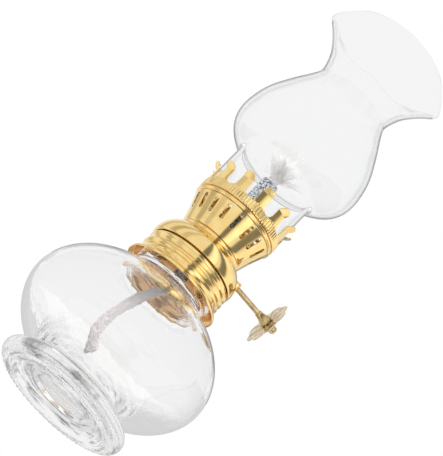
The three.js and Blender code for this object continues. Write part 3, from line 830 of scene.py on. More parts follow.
def make_tail(wick):
    """The wick's loose tail: a flattened braid. Each ring is an ellipse across the route, as wide as the
    wick and as thick as the setting says, whose edge wavers with slow and quick waves along and round it. The
    ends close on the route itself."""
    x, y, share = np.array(TAIL_ROUTE, float).T
    high = CORE_LOW.z - TAIL_GAP
    knots = np.stack([x * MM, y * MM, TAIL_LOW + (high - TAIL_LOW) * share], -1)
    route = through(knots, 150)
    run = unit(np.gradient(route, axis=0))
    wide = unit(np.cross(TAIL_FACING, run))
    thick = np.cross(run, wide)
    along = path_length(route)[:, None]
    angle = np.linspace(0, 2 * np.pi, 28, endpoint=False)[None]
    waver = 1 + 0.035 * np.sin(900 * along + 2 * angle) + 0.03 * np.sin(2700 * along + 3 * angle)
    ends = np.sqrt(np.clip(1 - np.linspace(-1, 1, len(route)) ** 60, 0, 1))[:, None]
    swell = 1 + 0.05 * np.sin(330 * along + 1.0)
    across = TAIL_SPREAD * np.cos(angle) * waver * swell * ends
    deep = wick.tail_thickness / 2 * np.sin(angle) * waver * ends
    grid = route[:, None] + across[..., None] * wide[:, None] + deep[..., None] * thick[:, None]
    tail = surface("wick_ribbon", grid)
    finished(tail, "wick", "Wick cotton", "wick_tail")


def make_core():
    """The braided wick in its tube: a rod whose radius rises where two crossing sets of spiral threads
    lie."""
    radius = CORE_HIGH.x - 0.12 * MM
    low, high = CORE_LOW.z, CORE_HIGH.z
    profile = softened([(0, low), (radius, low), (radius, high), (0, high)], 0.3 * MM, 0.5 * MM)
    distance, angle, height = polar(turned(profile, 72))
    twist = height / (0.9 * MM)
    braid = np.sin(8 * angle + twist) * np.sin(8 * angle - twist)
    core = surface("wick_braid", round_axis(distance * (1 + 0.045 * braid), angle, height))
    finished(core, "wick", "Wick cotton", "wick_core")


def make_tuft(wick):
    """The frayed head of the wick: loose strands that start side by side in the wick's end and open like a
    flower. They go in wisps: a wisp has its own direction, reach and height, and its strands keep near it.
    A strand's distance from the axis grows with a power of its share of the way, and it wavers sideways."""
    seeded = np.random.default_rng(TUFT_SEED)
    count, steps, sides = wick.strands, 10, 3
    share = np.linspace(0, 1, steps)[None]
    wisp = seeded.integers(0, WISPS, count)
    lean = (np.arange(WISPS) + 0.5) / WISPS
    wisp_turn = np.arange(WISPS) * GOLDEN_TURN + seeded.uniform(-0.2, 0.2, WISPS)
    wisp_reach = 1.36 * TUFT_HIGH.x * lean**0.62 * seeded.uniform(0.72, 1.18, WISPS)
    wisp_climb = (TUFT_HIGH.z - CORE_HIGH.z) * (1.3 - 0.72 * lean**1.6) * seeded.uniform(0.8, 1.12, WISPS)
    loose = seeded.normal(0, 1, (count, 3))
    turn = (wisp_turn[wisp] + 0.15 * loose[:, 0])[:, None]
    spread = np.abs(wisp_reach[wisp] * (1 + 0.16 * loose[:, 1]))[:, None]
    spread = spread * seeded.uniform(0.55, 1, (count, 1))
    climb = (wisp_climb[wisp] * (1 + 0.1 * loose[:, 2]))[:, None] * seeded.uniform(0.62, 1, (count, 1))
    start = CORE_HIGH.x * 0.86 * np.sqrt(seeded.random((count, 1)))
    root = CORE_HIGH.z - 0.9 * MM
    curve = seeded.uniform(1.15, 1.9, (count, 1))
    wave = seeded.uniform(0, 2 * np.pi, (count, 2))
    quick = seeded.uniform(3, 9, (count, 1))
    waver = 0.5 * MM * share * np.sin(quick * share + wave[:, :1])
    swing = 0.14 * share * np.sin(0.8 * quick * share + wave[:, 1:])
    distance = start * (1 - 0.5 * share) + spread * share**curve
    height = root + climb * share + 0.5 * waver
    x = distance * np.cos(turn + swing) - waver * np.sin(turn)
    y = distance * np.sin(turn + swing) + waver * np.cos(turn)
    line = np.stack([x, y, height], -1)
    run = unit(np.gradient(line, axis=1))
    side = unit(np.cross(run, (0.31, -0.22, 0.05)))
    lift = np.cross(run, side)
    taper = wick.strand_radius * np.sqrt(np.clip(1 - (2 * share - 1) ** 10, 0, 1)) * (1 - 0.6 * share)
    taper = taper * seeded.uniform(0.6, 1.25, (count, 1))
    ring = np.linspace(0, 2 * np.pi, sides, endpoint=False)
    around = np.cos(ring)[:, None] * side[:, :, None] + np.sin(ring)[:, None] * lift[:, :, None]
    tuft = surface("wick_fray", line[:, :, None] + taper[:, :, None, None] * around)
    finished(tuft, "wick", "Tuft cotton", "wick_tuft")


# ---------------------------------------------------------------- the glass

# The underside of the foot, from its middle out to the flat that it stands on.
UNDERSIDE = from_corner(
    0,
    0,
    [(0, 3.9), (6, 3.75), (10.5, 3.1), (12.5, 2.2), (15, 2.9), (18, 2.3), (21.2, 0.15), (22, 0), (25, 0)],
)
FLOOR_OVER_WAIST = 3.8 * MM
# The ring that the foot stands on: the distances from the axis between which its flutes grow in, and the
# heights between which they fade out.
FLUTED_FROM = (21 * MM, 22 * MM)
FLUTED_TO = (1.6 * MM, 3.4 * MM)
RIPPLE_DEPTH = 0.11 * MM
MOULD_RING_PITCH = 1.45 * MM
MOULD_RING_DEPTHS = (0.03 * MM, 0.08 * MM)
NECK_RIDGE = {"pitch": 3 * MM, "turns": 2.6, "half_width": 0.75 * MM, "phase": 0.0}
NECK_RIDGE_START = 2.6 * MM
NECK_RIDGE_RISE = 0.8 * MM
# The heights of the chimney's fitter, its widest place, its throat and its rim, over its base.
CHIMNEY_RISES = (22.6 * MM, 35.8 * MM, 66.8 * MM, 88.6 * MM)
CROWN_FACING = math.radians(-103)


def helix_ridge(angle, height, start, pitch, turns, half_width, phase):
    """1 on the crest of a ridge that climbs one pitch a turn and 0 away from it: a bell curve of the height
    over the crest, which fades in and out over a twelfth of a turn at the ridge's two ends."""
    ridge = np.zeros(np.broadcast(angle, height).shape)
    for lap in range(int(math.ceil(turns)) + 1):
        travelled = ((angle - phase) / (2 * np.pi)) % 1 + lap
        crest = start + pitch * travelled
        ends = smooth_step(travelled, 0, 0.08) * smooth_step(-travelled, -turns, -turns + 0.08)
        ridge = ridge + np.exp(-(((height - crest) / half_width) ** 2)) * ends
    return ridge


def font_profile(font, waist, floor, shoulder):
    """The font's outline: its outside from the dished underside up to the neck's lip, then its inside back
    down to the floor, with its corners rounded. Away from the foot it keeps each third point."""
    globe = GLASS_HIGH.x
    inner = globe - font.wall
    bore = font.neck_radius - font.wall
    half = font.globe_half_height
    centre = waist + half * math.sqrt(1 - (font.waist_radius / globe) ** 2)
    edge = font.foot_thickness / 2
    from_waist = -math.degrees(math.acos(font.waist_radius / globe))
    to_neck = math.degrees(math.acos(font.neck_radius / globe))
    to_bore = math.degrees(math.acos(bore / inner))
    outside = [
        UNDERSIDE,
        arc((font.foot_radius - edge, edge), edge, edge, -70, 78, 24),
        arc((0, centre), globe, half, from_waist, to_neck, 90),
        [(font.neck_radius, shoulder + 1.2 * MM), (font.neck_radius, GLASS_HIGH.z)],
    ]
    inside = [
        [(bore, GLASS_HIGH.z), (bore, shoulder + 3.5 * MM)],
        arc((0, centre), inner, half - font.wall, to_bore - 9, 0, 50),
        arc((0, centre), inner, centre - floor, -3, -90, 50),
    ]
    profile = softened(np.vstack(outside + inside), 0.36 * MM, 1.0 * MM)
    place = np.arange(len(profile))
    in_foot = (profile[:, 1] < waist) & (place < np.argmax(profile[:, 1]))
    profile = profile[in_foot | (place % 3 == 0)]
    profile[[0, -1], 0] = 0
    return profile


def foot_relief(font, distance, angle, height):
    """How far the foot's glass is pressed up, in three parts: small flutes round the ring that it rests on,
    slow waves in its underside, and fine rings all round it, deeper towards its edge."""
    on_ring = smooth_step(distance, *FLUTED_FROM) * (1 - smooth_step(height, *FLUTED_TO))
    flutes = font.flute_depth * (0.5 - 0.5 * np.cos(font.flutes * angle)) * on_ring
    under = (height < 4.5 * MM) * smooth_step(-distance, -21 * MM, -17 * MM)
    under = under * smooth_step(distance, 5 * MM, 10 * MM)
    slow = np.sin(3 * angle + 260 * distance) + 0.6 * np.sin(5 * angle - 420 * distance + 1.3)
    quick = 0.3 * np.sin(11 * angle + 900 * distance)
    ripples = RIPPLE_DEPTH * (slow + quick) * under
    shallow, deep = MOULD_RING_DEPTHS
    deeper = smooth_step(distance, 19 * MM, 21 * MM) * (0.6 + 0.4 * np.sin(3 * angle + 1))
    depth = (shallow + (deep - shallow) * deeper) * smooth_step(distance, 9 * MM, 12 * MM)
    rings = depth * np.sin(2 * np.pi * distance / MOULD_RING_PITCH + 0.5 * np.sin(2 * angle))
    return flutes, ripples, rings


def make_font(font):
    """The font as one closed skin of glass, its outline turned round the axis. Its foot has its relief, the
    neck's thread stands out on a helix, and the wall inside the globe wobbles in slow waves."""
    waist = font.foot_thickness + font.waist_rise
    floor = waist + FLOOR_OVER_WAIST
    shoulder = GLASS_HIGH.z - font.neck_height
    profile = font_profile(font, waist, floor, shoulder)
    is_inner = np.arange(len(profile))[:, None] > np.argmax(profile[:, 1])
    distance, angle, height = polar(turned(profile, 180))
    flutes, ripples, rings = foot_relief(font, distance, angle, height)
    lifted = height + flutes * ~is_inner + ripples + rings * (height < waist) * ~is_inner
    ridge = helix_ridge(angle, height, shoulder + NECK_RIDGE_START, **NECK_RIDGE)
    on_neck = (distance > font.neck_radius - 0.3 * MM) & (height > shoulder)
    distance = distance + NECK_RIDGE_RISE * ridge * on_neck
    wobble = 0.22 * MM * np.sin(3 * angle + 60 * height) + 0.16 * MM * np.sin(5 * angle - 95 * height + 2)
    in_globe = smooth_step(height, floor + 2 * MM, floor + 9 * MM)
    in_globe = in_globe * smooth_step(-height, -shoulder, 8 * MM - shoulder)
    distance = distance + wobble * in_globe * is_inner
    shell = surface("font_shell", round_axis(distance, angle, lifted))
    finished(shell, "font", "Font glass", "glass_font")


def make_chimney(chimney):
    """The chimney as one closed skin of glass: a straight fitter, a bulb, a throat and a flared rim through
    smooth knots, and the same curve moved in by the wall. From part way up the flare each point leans out
    and droops in lobes round the rim, and the crown rises at two opposite sides."""
    base = CHIMNEY_LOW.z
    fitter, bulb, throat, rim = chimney.fitter, chimney.bulb, chimney.throat, chimney.rim
    fitter_top, widest, narrowest, top = (base + rise for rise in CHIMNEY_RISES)
    knots = [
        (fitter + 1 * MM, fitter_top + 1 * MM),
        (fitter + (bulb - fitter) * 0.45, fitter_top + 2.8 * MM),
        (fitter + (bulb - fitter) * 0.8, fitter_top + 6 * MM),
        (bulb - 0.5 * MM, widest - 4 * MM),
        (bulb, widest),
        (bulb - 1.4 * MM, widest + 8.6 * MM),
        (throat + (bulb - throat) * 0.55, narrowest - 13.5 * MM),
        (throat + (bulb - throat) * 0.12, narrowest - 4 * MM),
        (throat, narrowest),
        (throat + (rim - throat) * 0.22, narrowest + 9 * MM),
        (throat + (rim - throat) * 0.6, narrowest + 16 * MM),
        (rim, top),
    ]
    outside = np.vstack([[(fitter, base), (fitter, fitter_top)], through(knots, 160)])
    outside = softened(outside, 0.75 * MM, 1.5 * MM)
    loop = np.vstack([outside, moved_in(outside, chimney.wall)[::-1]])
    loop = softened(loop, 0.75 * MM, 0.75 * MM, closed=True)
    distance, angle, height = polar(turned(loop, 168))
    begins = narrowest + (top - narrowest) * 0.35
    share = np.clip((height - begins) / (top - begins), 0, 1) ** 1.5
    turn = angle - CROWN_FACING
    lobe = -np.cos(chimney.lobes * turn)
    grown = distance * (1 + chimney.lobe_lean * share * lobe / rim)
    lift = share * (chimney.crown * np.cos(2 * turn) - chimney.lobe_droop * lobe)
    shell = surface("chimney_shell", round_axis(grown, angle, height + lift), wrap_rows=True)
    finished(shell, "chimney", "Chimney glass", "glass_chimney")


# ---------------------------------------------------------------- the brass burner

COLLAR_MOUTH = 13.6 * MM
COLLAR_RIDGE = {"pitch": 2.45 * MM, "turns": 1.75, "half_width": 0.62 * MM, "phase": math.radians(-150)}
COLLAR_RIDGE_START = 4.4 * MM
COLLAR_RIDGE_RISE = 0.85 * MM
CONE_FOOT = 13.3 * MM
CONE_MOUTH = 11.5 * MM
KEYHOLE_LENGTH = 6.4 * MM
KEYHOLE_DOT = 0.98 * MM
# Lengths along the cone's sheet: from the slots up to its rim, the plain sheet at its rim, and what the
# panels have under the slots.
RIM_OVER_SLOTS = 1.0 * MM
PLAIN_RIM = 0.35 * MM
PANEL_UNDER_SLOTS = 0.9 * MM
# The cone's and the gallery's thickness, as shares of the burner's sheet.
CONE_SHEET = 0.8
GALLERY_SHEET = 0.85
BEAD_GROOVE = 0.14 * MM
# The gaps between the prongs, the crease where a prong's tip turns out, the first prong's place, and how
# far a prong leans in for its height.
GAP_RADIUS = 2.4 * MM
GAP_FOOT = 3.25 * MM
CREASE_AT = 9.0 * MM
PRONG_TIP = 2.9 * MM
PRONG_HALF_AT_CREASE = 2.25 * MM
PRONG_ROUNDNESS = 2.3
PRONG_TURN = math.radians(50)
PRONG_PHASE = math.radians(23.8)
PRONG_LEAN = 0.012
# Up the band: where the knurls begin and are full, and where they begin to fade and end.
KNURLS_FROM = (0.15 * MM, 0.5 * MM)
KNURLS_TO = (3.2 * MM, 4.1 * MM)
TUBE_WALL = 0.35 * MM
TUBE_ROLL = 0.45 * MM
TUBE_DENTS = 0.09 * MM
# The tube's window onto the feed wheels: half its height, and its middle and half its width as shares of a
# turn.
WINDOW_HALF_HEIGHT = 3 * MM
WINDOW_MIDDLE = 0.75
WINDOW_HALF_WIDTH = 0.13
# Each ring of the diffuser's holes: how many, their radius, the panels' points across and up, and the share
# of the way in across its panel where a hole's centre lies.
OUTER_HOLES = {"count": 12, "radius": 2.1 * MM, "across": 4, "up": 8, "centre": 0.667}
INNER_HOLES = {"count": 8, "radius": 1.6 * MM, "across": 6, "up": 6, "centre": 0.374}
# Where the two rings of panels meet, as a share of the way out across the disc.
RINGS_MEET = 0.47


def sheet_loop(outside, thickness, spacing, reach):
    """The closed outline of a pressed sheet: its outside curve, and the same curve moved in, rounded."""
    outside = softened(outside, spacing, reach)
    loop = np.vstack([outside, moved_in(outside, thickness)[::-1]])
    return softened(loop, spacing, thickness * 0.4, closed=True)


def make_collar(burner):
    """The screw collar: a pressed sheet with a flared skirt and its rolled lip, a straight wall, a rolled
    ridge and a top that turns in, with a ridge on a helix pressed out of the wall."""
    low, high, skirt = COLLAR_LOW.z, COLLAR_HIGH.z, COLLAR_HIGH.x
    wall = skirt - 2.95 * MM
    outside = np.vstack(
        [
            from_corner(skirt, low, [(-0.25, 0.1), (0, 0.5), (-0.15, 1.1)]),
            from_corner(wall, low, [(1.55, 2.2), (1.1, 3.2), (0.55, 4.2), (0, 5)]),
            from_corner(wall, high, [(0, -1.9), (0.65, -1.5), (0.8, -0.85), (0.35, -0.2), (-1.2, 0)]),
            [(COLLAR_MOUTH, high)],
        ]
    )
    loop = sheet_loop(outside, burner.sheet, 0.22 * MM, 0.36 * MM)
    distance, angle, height = polar(turned(loop, 200))
    ridge = helix_ridge(angle, height, low + COLLAR_RIDGE_START, **COLLAR_RIDGE)
    on_wall = distance > wall - burner.sheet - 0.4 * MM
    grid = round_axis(distance + COLLAR_RIDGE_RISE * ridge * on_wall, angle, height)
    shell = surface("collar_shell", grid, wrap_rows=True)
    finished(shell, "burner", "Collar sheet", "screw_collar")


def make_dome(burner):
    """The burner's round dome: a short foot, then an arc of an ellipse in to the mouth."""
    low, high, widest = DOME_LOW.z, DOME_HIGH.z, DOME_HIGH.x
    outside = np.vstack(
        [
            from_corner(widest, low, [(-0.85, 0), (-0.15, 0.35)]),
            arc((widest - 8 * MM, low + 1.5 * MM), 8 * MM, 8.2 * MM, 0, 66, 30),
            from_corner(CONE_FOOT, high, [(0.5, -0.1), (-0.3, 0)]),
            [(CONE_MOUTH, high)],
        ]
    )
    loop = sheet_loop(outside, burner.sheet, 0.25 * MM, 0.5 * MM)
    shell = surface("dome_shell", turned(loop, 180), wrap_rows=True)
    finished(shell, "burner", "Gilt sheet", "burner_dome")


def keyhole(width, count):
    """The outline of a keyhole, centred on its slot and taken at even steps from the middle of its top: a
    slot with a round top, and a round dot at its lower end."""
    half = width / 2
    top = KEYHOLE_LENGTH / 2
    meet = math.degrees(math.asin(half / KEYHOLE_DOT))
    outline = np.vstack(
        [
            arc((0, top - half), half, half, 90, 0, 10),
            arc((0, KEYHOLE_DOT - top), KEYHOLE_DOT, KEYHOLE_DOT, 90 - meet, -270 + meet, 32),
            arc((0, top - half), half, half, 180, 90, 10),
        ]
    )
    along = path_length(outline)
    return at_distances(outline, along, np.linspace(0, along[-1], count, endpoint=False))


def round_hole(radius, count):
    """The outline of a round hole, from its top and clockwise."""
    return arc((0, 0), radius, radius, 90, -270, count + 1)[:-1]


def panel_edge(half_width, half_height, across, up):
    """The outline of a panel, from the middle of its top and clockwise, with points at its corners."""
    corners = [
        (0, half_height, across),
        (half_width, half_height, up),
        (half_width, -half_height, 2 * across),
        (-half_width, -half_height, up),
        (-half_width, half_height, across),
    ]
    sides = []
    for (x, y, steps), (next_x, next_y, _) in zip(corners, corners[1:] + corners[:1]):
        sides.append(np.linspace((x, y), (next_x, next_y), steps + 1)[:-1])
    return np.vstack(sides)


def pierced_ring(name, profile, start, end, count, outline, across, up, centre):
    """A ring of equal panels on a turned sheet, each with a hole. A panel's points lie on loops that change
    evenly from the hole's outline to the panel's edge. The profile gives the radius and height at a distance
    along the sheet. The panels run between two such distances, and a hole's centre lies at a share of that
    way."""
    along = path_length(profile)
    middle_at = start + (end - start) * centre
    reference = np.interp(middle_at, along, profile[:, 0])
    half_width = np.pi / count * reference
    edge = panel_edge(half_width, (end - start) / 2, across, up)
    edge[:, 1] += (start + end) / 2 - middle_at
    loops = np.linspace(0, 1, 6)[:, None, None] ** 1.2
    flat = outline[None] * (1 - loops) + edge[None] * loops
    at = middle_at + flat[..., 1]
    radius = np.interp(at, along, profile[:, 0])
    height = np.interp(at, along, profile[:, 1])
    turns = np.arange(count)[:, None, None] * 2 * np.pi / count
    return surface(name, round_axis(radius, turns + flat[None, ..., 0] / reference, height))


def plain_ring(name, profile, start, end, columns, rows):
    """A whole ring of a turned sheet, between two distances along its profile."""
    part = at_distances(profile, path_length(profile), np.linspace(start, end, rows))
    return surface(name, turned(part, columns))


def make_cone(burner):
    """The pierced cone: a ledge that turns up into a straight flare, with a ring of keyhole slots under its
    top edge. The sheet gets its thickness inwards."""
    low, high, top = CONE_LOW.z, CONE_HIGH.z, CONE_HIGH.x
    knots = [
        (CONE_MOUTH, low + 0.05 * MM),
        (CONE_FOOT - 0.1 * MM, low + 0.05 * MM),
        (CONE_FOOT + 0.3 * MM, low + 0.7 * MM),
        (CONE_FOOT + (top - CONE_FOOT) * 0.45, low + (high - low) * 0.5),
        (top, high),
    ]
    profile = softened(np.array(knots), 0.12 * MM, 0.35 * MM)
    whole = path_length(profile)[-1]
    slot_top = whole - RIM_OVER_SLOTS
    slot_foot = slot_top - KEYHOLE_LENGTH
    start = slot_foot - PANEL_UNDER_SLOTS
    end = whole - PLAIN_RIM
    across, up = 6, 13
    centre = ((slot_top + slot_foot) / 2 - start) / (end - start)
    outline = keyhole(burner.slot_width, 4 * across + 2 * up)
    columns = 2 * across * burner.slots
    parts = [
        plain_ring("foot", profile, 0, start, columns, 16),
        pierced_ring("slots", profile, start, end, burner.slots, outline, across, up, centre),
        plain_ring("top", profile, end, whole, columns, 3),
    ]
    cone = thickened(joined("cone_shell", parts), burner.sheet * CONE_SHEET)
    finished(cone, "burner", "Cone sheet", "burner_cone")


def make_bead():
    """The rolled bead under the band: a ring with a shallow groove pressed in above and below its crest."""
    radius = (BEAD_HIGH.z - BEAD_LOW.z) / 2
    centre = (BEAD_HIGH.x - radius, (BEAD_HIGH.z + BEAD_LOW.z) / 2)
    distance, angle, height = polar(turned(arc(centre, radius, radius, -180, 180, 41)[:-1], 200))
    rise = (height - centre[1]) / radius
    groove = np.exp(-(((np.abs(rise) - 0.62) / 0.14) ** 2)) * (distance > centre[0])
    grid = round_axis(distance - BEAD_GROOVE * groove, angle, height)
    bead = surface("gallery_roll", grid, wrap_rows=True)
    finished(bead, "burner", "Gilt sheet", "gallery_bead")


def prong_half_width(up, whole):
    """Half the width of a prong's sheet at a distance up it: the whole panel below the gap's foot, then the
    panel less half a round-bottomed gap, then a straight taper up to the crease, then a round tip."""
    rise = np.clip(up - GAP_FOOT, 0, GAP_RADIUS)
    gap = np.sqrt(GAP_RADIUS**2 - (GAP_RADIUS - rise) ** 2)
    taper = np.clip((up - GAP_FOOT - GAP_RADIUS) / (CREASE_AT - GAP_FOOT - GAP_RADIUS), 0, 1)
    width = (whole - gap) * (1 - taper) + PRONG_HALF_AT_CREASE * taper
    past = np.clip((up - CREASE_AT) / PRONG_TIP, 0, 1)
    return width * (1 - past**PRONG_ROUNDNESS) ** (1 / PRONG_ROUNDNESS)


def make_gallery(burner):
    """The knurled band and its spring prongs, as one pressed sheet. Each prong's panel is a grid of rows at
    rising distances up the sheet, each as wide as the panel is there. The sheet leans in a little above the
    gaps' foot, and out above the crease. The knurls are waves round the band that fade out at its edges."""
    outer = DOME_HIGH.x - 0.6 * MM
    whole = np.pi / burner.prongs * outer
    gap_rows = GAP_FOOT + GAP_RADIUS * (1 - np.cos(np.linspace(0, np.pi / 2, 9)))
    tip_rows = CREASE_AT + PRONG_TIP * np.sin(np.linspace(0, np.pi / 2, 12))
    stretches = [np.linspace(0, GAP_FOOT, 11), gap_rows, np.linspace(gap_rows[-1], CREASE_AT, 8), tip_rows]
    up = np.unique(np.concatenate(stretches).round(9))[:, None]
    across = np.linspace(-1, 1, 43)[None]
    half = prong_half_width(up, whole)
    centres = PRONG_PHASE + np.arange(burner.prongs)[:, None, None] * 2 * np.pi / burner.prongs
    angle = centres + across * half / outer
    knurl = 0.5 - 0.5 * np.cos(burner.knurls * (angle - PRONG_PHASE))
    knurl = knurl**0.6 * smooth_step(up, *KNURLS_FROM) * (1 - smooth_step(up, *KNURLS_TO))
    past = np.clip(up - CREASE_AT, 0, None)
    lean = PRONG_LEAN * np.clip(up - GAP_FOOT, 0, None)
    radius = outer - lean + past * math.sin(PRONG_TURN) - burner.knurl_depth * (1 - knurl)
    height = GALLERY_LOW.z + np.minimum(up, CREASE_AT) + past * math.cos(PRONG_TURN)
    gallery = surface("gallery_prongs", round_axis(radius, angle, height), wrap_columns=False)
    gallery = thickened(gallery, burner.sheet * GALLERY_SHEET)
    finished(gallery, "burner", "Gilt sheet", "chimney_gallery")


def make_diffuser():
    """The air diffuser: a flat disc with two rings of round holes, and a hole for the wick tube."""
    inner = TUBE_HIGH.x + 0.15 * MM
    outer = DIFFUSER_HIGH.x
    top = DIFFUSER_HIGH.z
    profile = np.array([(outer, top), (inner, top)])
    half_way = outer - (inner + (outer - inner) * RINGS_MEET)
    rings = []
    for name, start, end, holes in (
        ("outer", 0, half_way, OUTER_HOLES),
        ("inner", half_way, outer - inner, INNER_HOLES),
    ):
        across, up = holes["across"], holes["up"]
        outline = round_hole(holes["radius"], 4 * across + 2 * up)
        rings.append(
            pierced_ring(name, profile, start, end, holes["count"], outline, across, up, holes["centre"])
        )
    disc = thickened(joined("diffuser_disc", rings), top - DIFFUSER_LOW.z)
    finished(disc, "burner", "Gilt sheet", "air_diffuser")


def make_tube():
    """The wick tube: one wall of points round the axis with its mouth rolled in, less the quads where the
    feed wheels reach the wick, then given its thickness inwards. Its wall is dented in slow waves."""
    radius, columns = TUBE_HIGH.x, 72
    low, high = TUBE_LOW.z, TUBE_HIGH.z
    window_top = KNOB_AXIS.z + WINDOW_HALF_HEIGHT
    below = np.linspace(low, KNOB_AXIS.z - WINDOW_HALF_HEIGHT, 4)
    rows = np.concatenate([below, np.linspace(window_top, high - 0.7 * MM, 70)])
    mouth = arc((radius - TUBE_ROLL, high - TUBE_ROLL), TUBE_ROLL, TUBE_ROLL, 0, 75, 6)
    profile = np.vstack([np.stack([radius + 0 * rows, rows], -1), mouth])
    distance, angle, height = polar(turned(profile, columns))
    dents = np.sin(7 * angle + height / (1.1 * MM)) * np.sin(4 * angle - height / (0.8 * MM))
    above = smooth_step(height, window_top + 2 * MM, window_top + 12 * MM)
    grid = round_axis(distance - TUBE_DENTS * (1 + dents) * above, angle, height)
    _, up, across = grid_faces(grid.shape[:2], False, True)
    from_middle = np.abs((across[:, 0] + 0.5) / columns - WINDOW_MIDDLE)
    window = (from_middle < WINDOW_HALF_WIDTH) & (up[:, 0] == len(below) - 1)
    tube = thickened(surface("tube_sleeve", grid, keep=~window), TUBE_WALL)
    finished(tube, "burner", "Sooty tin", "wick_tube")


# ---------------------------------------------------------------- the knob



def half_height(low, high):
    """Half the height of a box, which is the radius of a part that is turned round the knob's axis."""
    return (high.z - low.z) / 2


ROD_RADIUS = half_height(SPINDLE_LOW, SPINDLE_HIGH)
KNOB_SPACING = 0.12 * MM
WHEEL_HALF_SHEET = 0.3 * MM


def knob_ring(name, profile, reach):
    """A ring round the knob's axis, from the closed profile of (radius, distance along X) points."""
    loop = softened(profile, KNOB_SPACING, reach, closed=True)
    return surface(name, on_knob_axis(turned(loop, 64)), wrap_rows=True)


def make_rod():
    """The spindle, and the bushing it turns in, with a flange against the dome."""
    left, right = SPINDLE_LOW.x, SPINDLE_HIGH.x
    corners = [(0, left), (ROD_RADIUS, left), (ROD_RADIUS, right), (0, right)]
    profile = softened(corners, 0.3 * MM, 0.3 * MM)
    rod = surface("spindle_rod", on_knob_axis(turned(profile, 48)))
    finished(rod, "wick_raiser", "Gilt rod", "feed_spindle")
    bore = ROD_RADIUS + 0.15 * MM
    outside = half_height(BUSHING_LOW, BUSHING_HIGH)
    left, right = BUSHING_LOW.x, BUSHING_HIGH.x
    flange = from_corner(outside, right, [(0, -0.9), (0.35, -0.55), (-0.2, 0)])
    shape = np.vstack([[(bore, left), (outside, left)], flange, [(bore, right)]])
    sleeve = knob_ring("spindle_sleeve", shape, 0.15 * MM)
    finished(sleeve, "burner", "Gilt sheet", "spindle_bushing")


def make_hub():
    """The hub, which swells like a trumpet up to the wheel, and the nub that holds the wheel on."""
    bore = ROD_RADIUS + 0.1 * MM
    left, right = HUB_LOW.x, HUB_HIGH.x
    wide = half_height(HUB_LOW, HUB_HIGH)
    thin = bore + 0.2 * MM
    share = np.linspace(0, 1, 12)
    swell_radius = thin + (wide + 0.3 * MM - thin) * share**1.8
    swell = np.stack([swell_radius, left + (right - 0.7 * MM - left) * share], -1)
    shape = np.vstack([[(bore, left)], swell, [(wide + 0.25 * MM, right), (bore, right)]])
    hub = knob_ring("knob_trumpet", shape, 0.2 * MM)
    finished(hub, "wick_raiser", "Gilt rod", "knob_hub")
    left, right = NUB_LOW.x, NUB_HIGH.x
    wide = half_height(NUB_LOW, NUB_HIGH)
    socket = SPINDLE_HIGH.x + 0.05 * MM
    cap = np.vstack(
        [
            [(0, socket), (bore, socket), (bore, left)],
            from_corner(wide, left, [(-0.15, 0), (0, 0.5), (-0.25, 1.1), (0, 1.8)]),
            [(wide - 0.1 * MM, right - 0.7 * MM), (wide * 0.6, right - 0.1 * MM), (0, right)],
        ]
    )
    profile = softened(cap, KNOB_SPACING, 0.25 * MM)
    profile[[0, -1], 0] = 0
    nub = surface("knob_button", on_knob_axis(turned(profile, 64)))
    finished(nub, "wick_raiser", "Gilt rod", "knob_nub")


def make_thumb_wheel(knob):
    """The thumb wheel, a pressed flower. Its rim is a circle with a notch between petals. Each petal bulges
    along +X by a bell of its width and length, with a vein down its middle, and the sheet's two faces are
    the same shape a thickness apart."""
    bore = ROD_RADIUS + 0.12 * MM
    rim = half_height(WHEEL_LOW, WHEEL_HIGH)
    middle_x = (WHEEL_LOW.x + WHEEL_HIGH.x) / 2
    share = np.linspace(0, 1, 26)[:-1]
    edge = np.radians(np.linspace(90, -90, 7))
    over = np.concatenate([share, 1 + 0 * edge, share[::-1]])[:, None]
    side = np.concatenate([1 + 0 * share, np.sin(edge), -1 + 0 * share])[:, None]
    round_edge = np.concatenate([0 * share, np.cos(edge), 0 * share])[:, None]
    angle = np.linspace(0, 2 * np.pi, 192, endpoint=False)[None]
    petal = np.abs(np.sin(knob.petals * angle / 2))
    outline = rim - knob.scallop * (1 - petal**0.7)
    radius = bore + (outline - WHEEL_HALF_SHEET - bore) * over + WHEEL_HALF_SHEET * round_edge
    bulge = petal * np.sin(np.pi * over)
    vein = np.exp(-((np.cos(knob.petals * angle / 2) / 0.22) ** 2)) * smooth_step(over, 0.25, 0.5)
    vein = vein * smooth_step(-over, -0.95, -0.75)
    rolled = 0.16 * np.exp(-(((over - 0.88) / 0.1) ** 2))
    relief = bulge - 0.4 - 0.12 * vein + rolled * petal
    along = middle_x + WHEEL_HALF_SHEET * side + knob.emboss * relief
    wheel = surface("thumb_flower", on_knob_axis(round_axis(radius, angle, along)[::-1]), wrap_rows=True)
    finished(wheel, "wick_raiser", "Pale brass", "thumb_wheel")


# ---------------------------------------------------------------- CAD nodes that stay

KEPT = {
    "tube_plate": "Aged brass",
    "feed_bracket": "Steel",
    "feed_wheel_inner": "Steel",
    "feed_wheel_outer": "Steel",
    "spindle_retainer": "Steel",
    "spindle_washer": "Steel",
    "neck_gasket": "Cork",
}


def finish_kept_nodes():
    """Gives the CAD nodes that stay visible their materials."""
    for node, material in KEPT.items():
        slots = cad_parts[node].data.materials
        slots.clear()
        slots.append(finish_named(material))


# ---------------------------------------------------------------- the stage

WHITE = (1, 1, 1, 1)
# The dark screen behind the lamp: the cosines, from straight behind, where it begins and where it is
# darkest.
SCREEN_EDGE = 0.87
SCREEN_CORE = 0.985
# The studio is dimmer from below: the heights of a direction where it is dimmest and where it is full, and
# the two levels.
DIM_BELOW = (-0.95, 0.1, 0.35, 0.95)
# The room is dimmer through much glass: how many faces of glass before it dims and when it is dimmest, and
# the two levels.
DIM_THROUGH = (4.0, 10.0, 1.0, 0.6)
# How bright the darkest studio is to light that keeps turning inside glass, as a share of the full level.
INSIDE_LEAST = 0.2
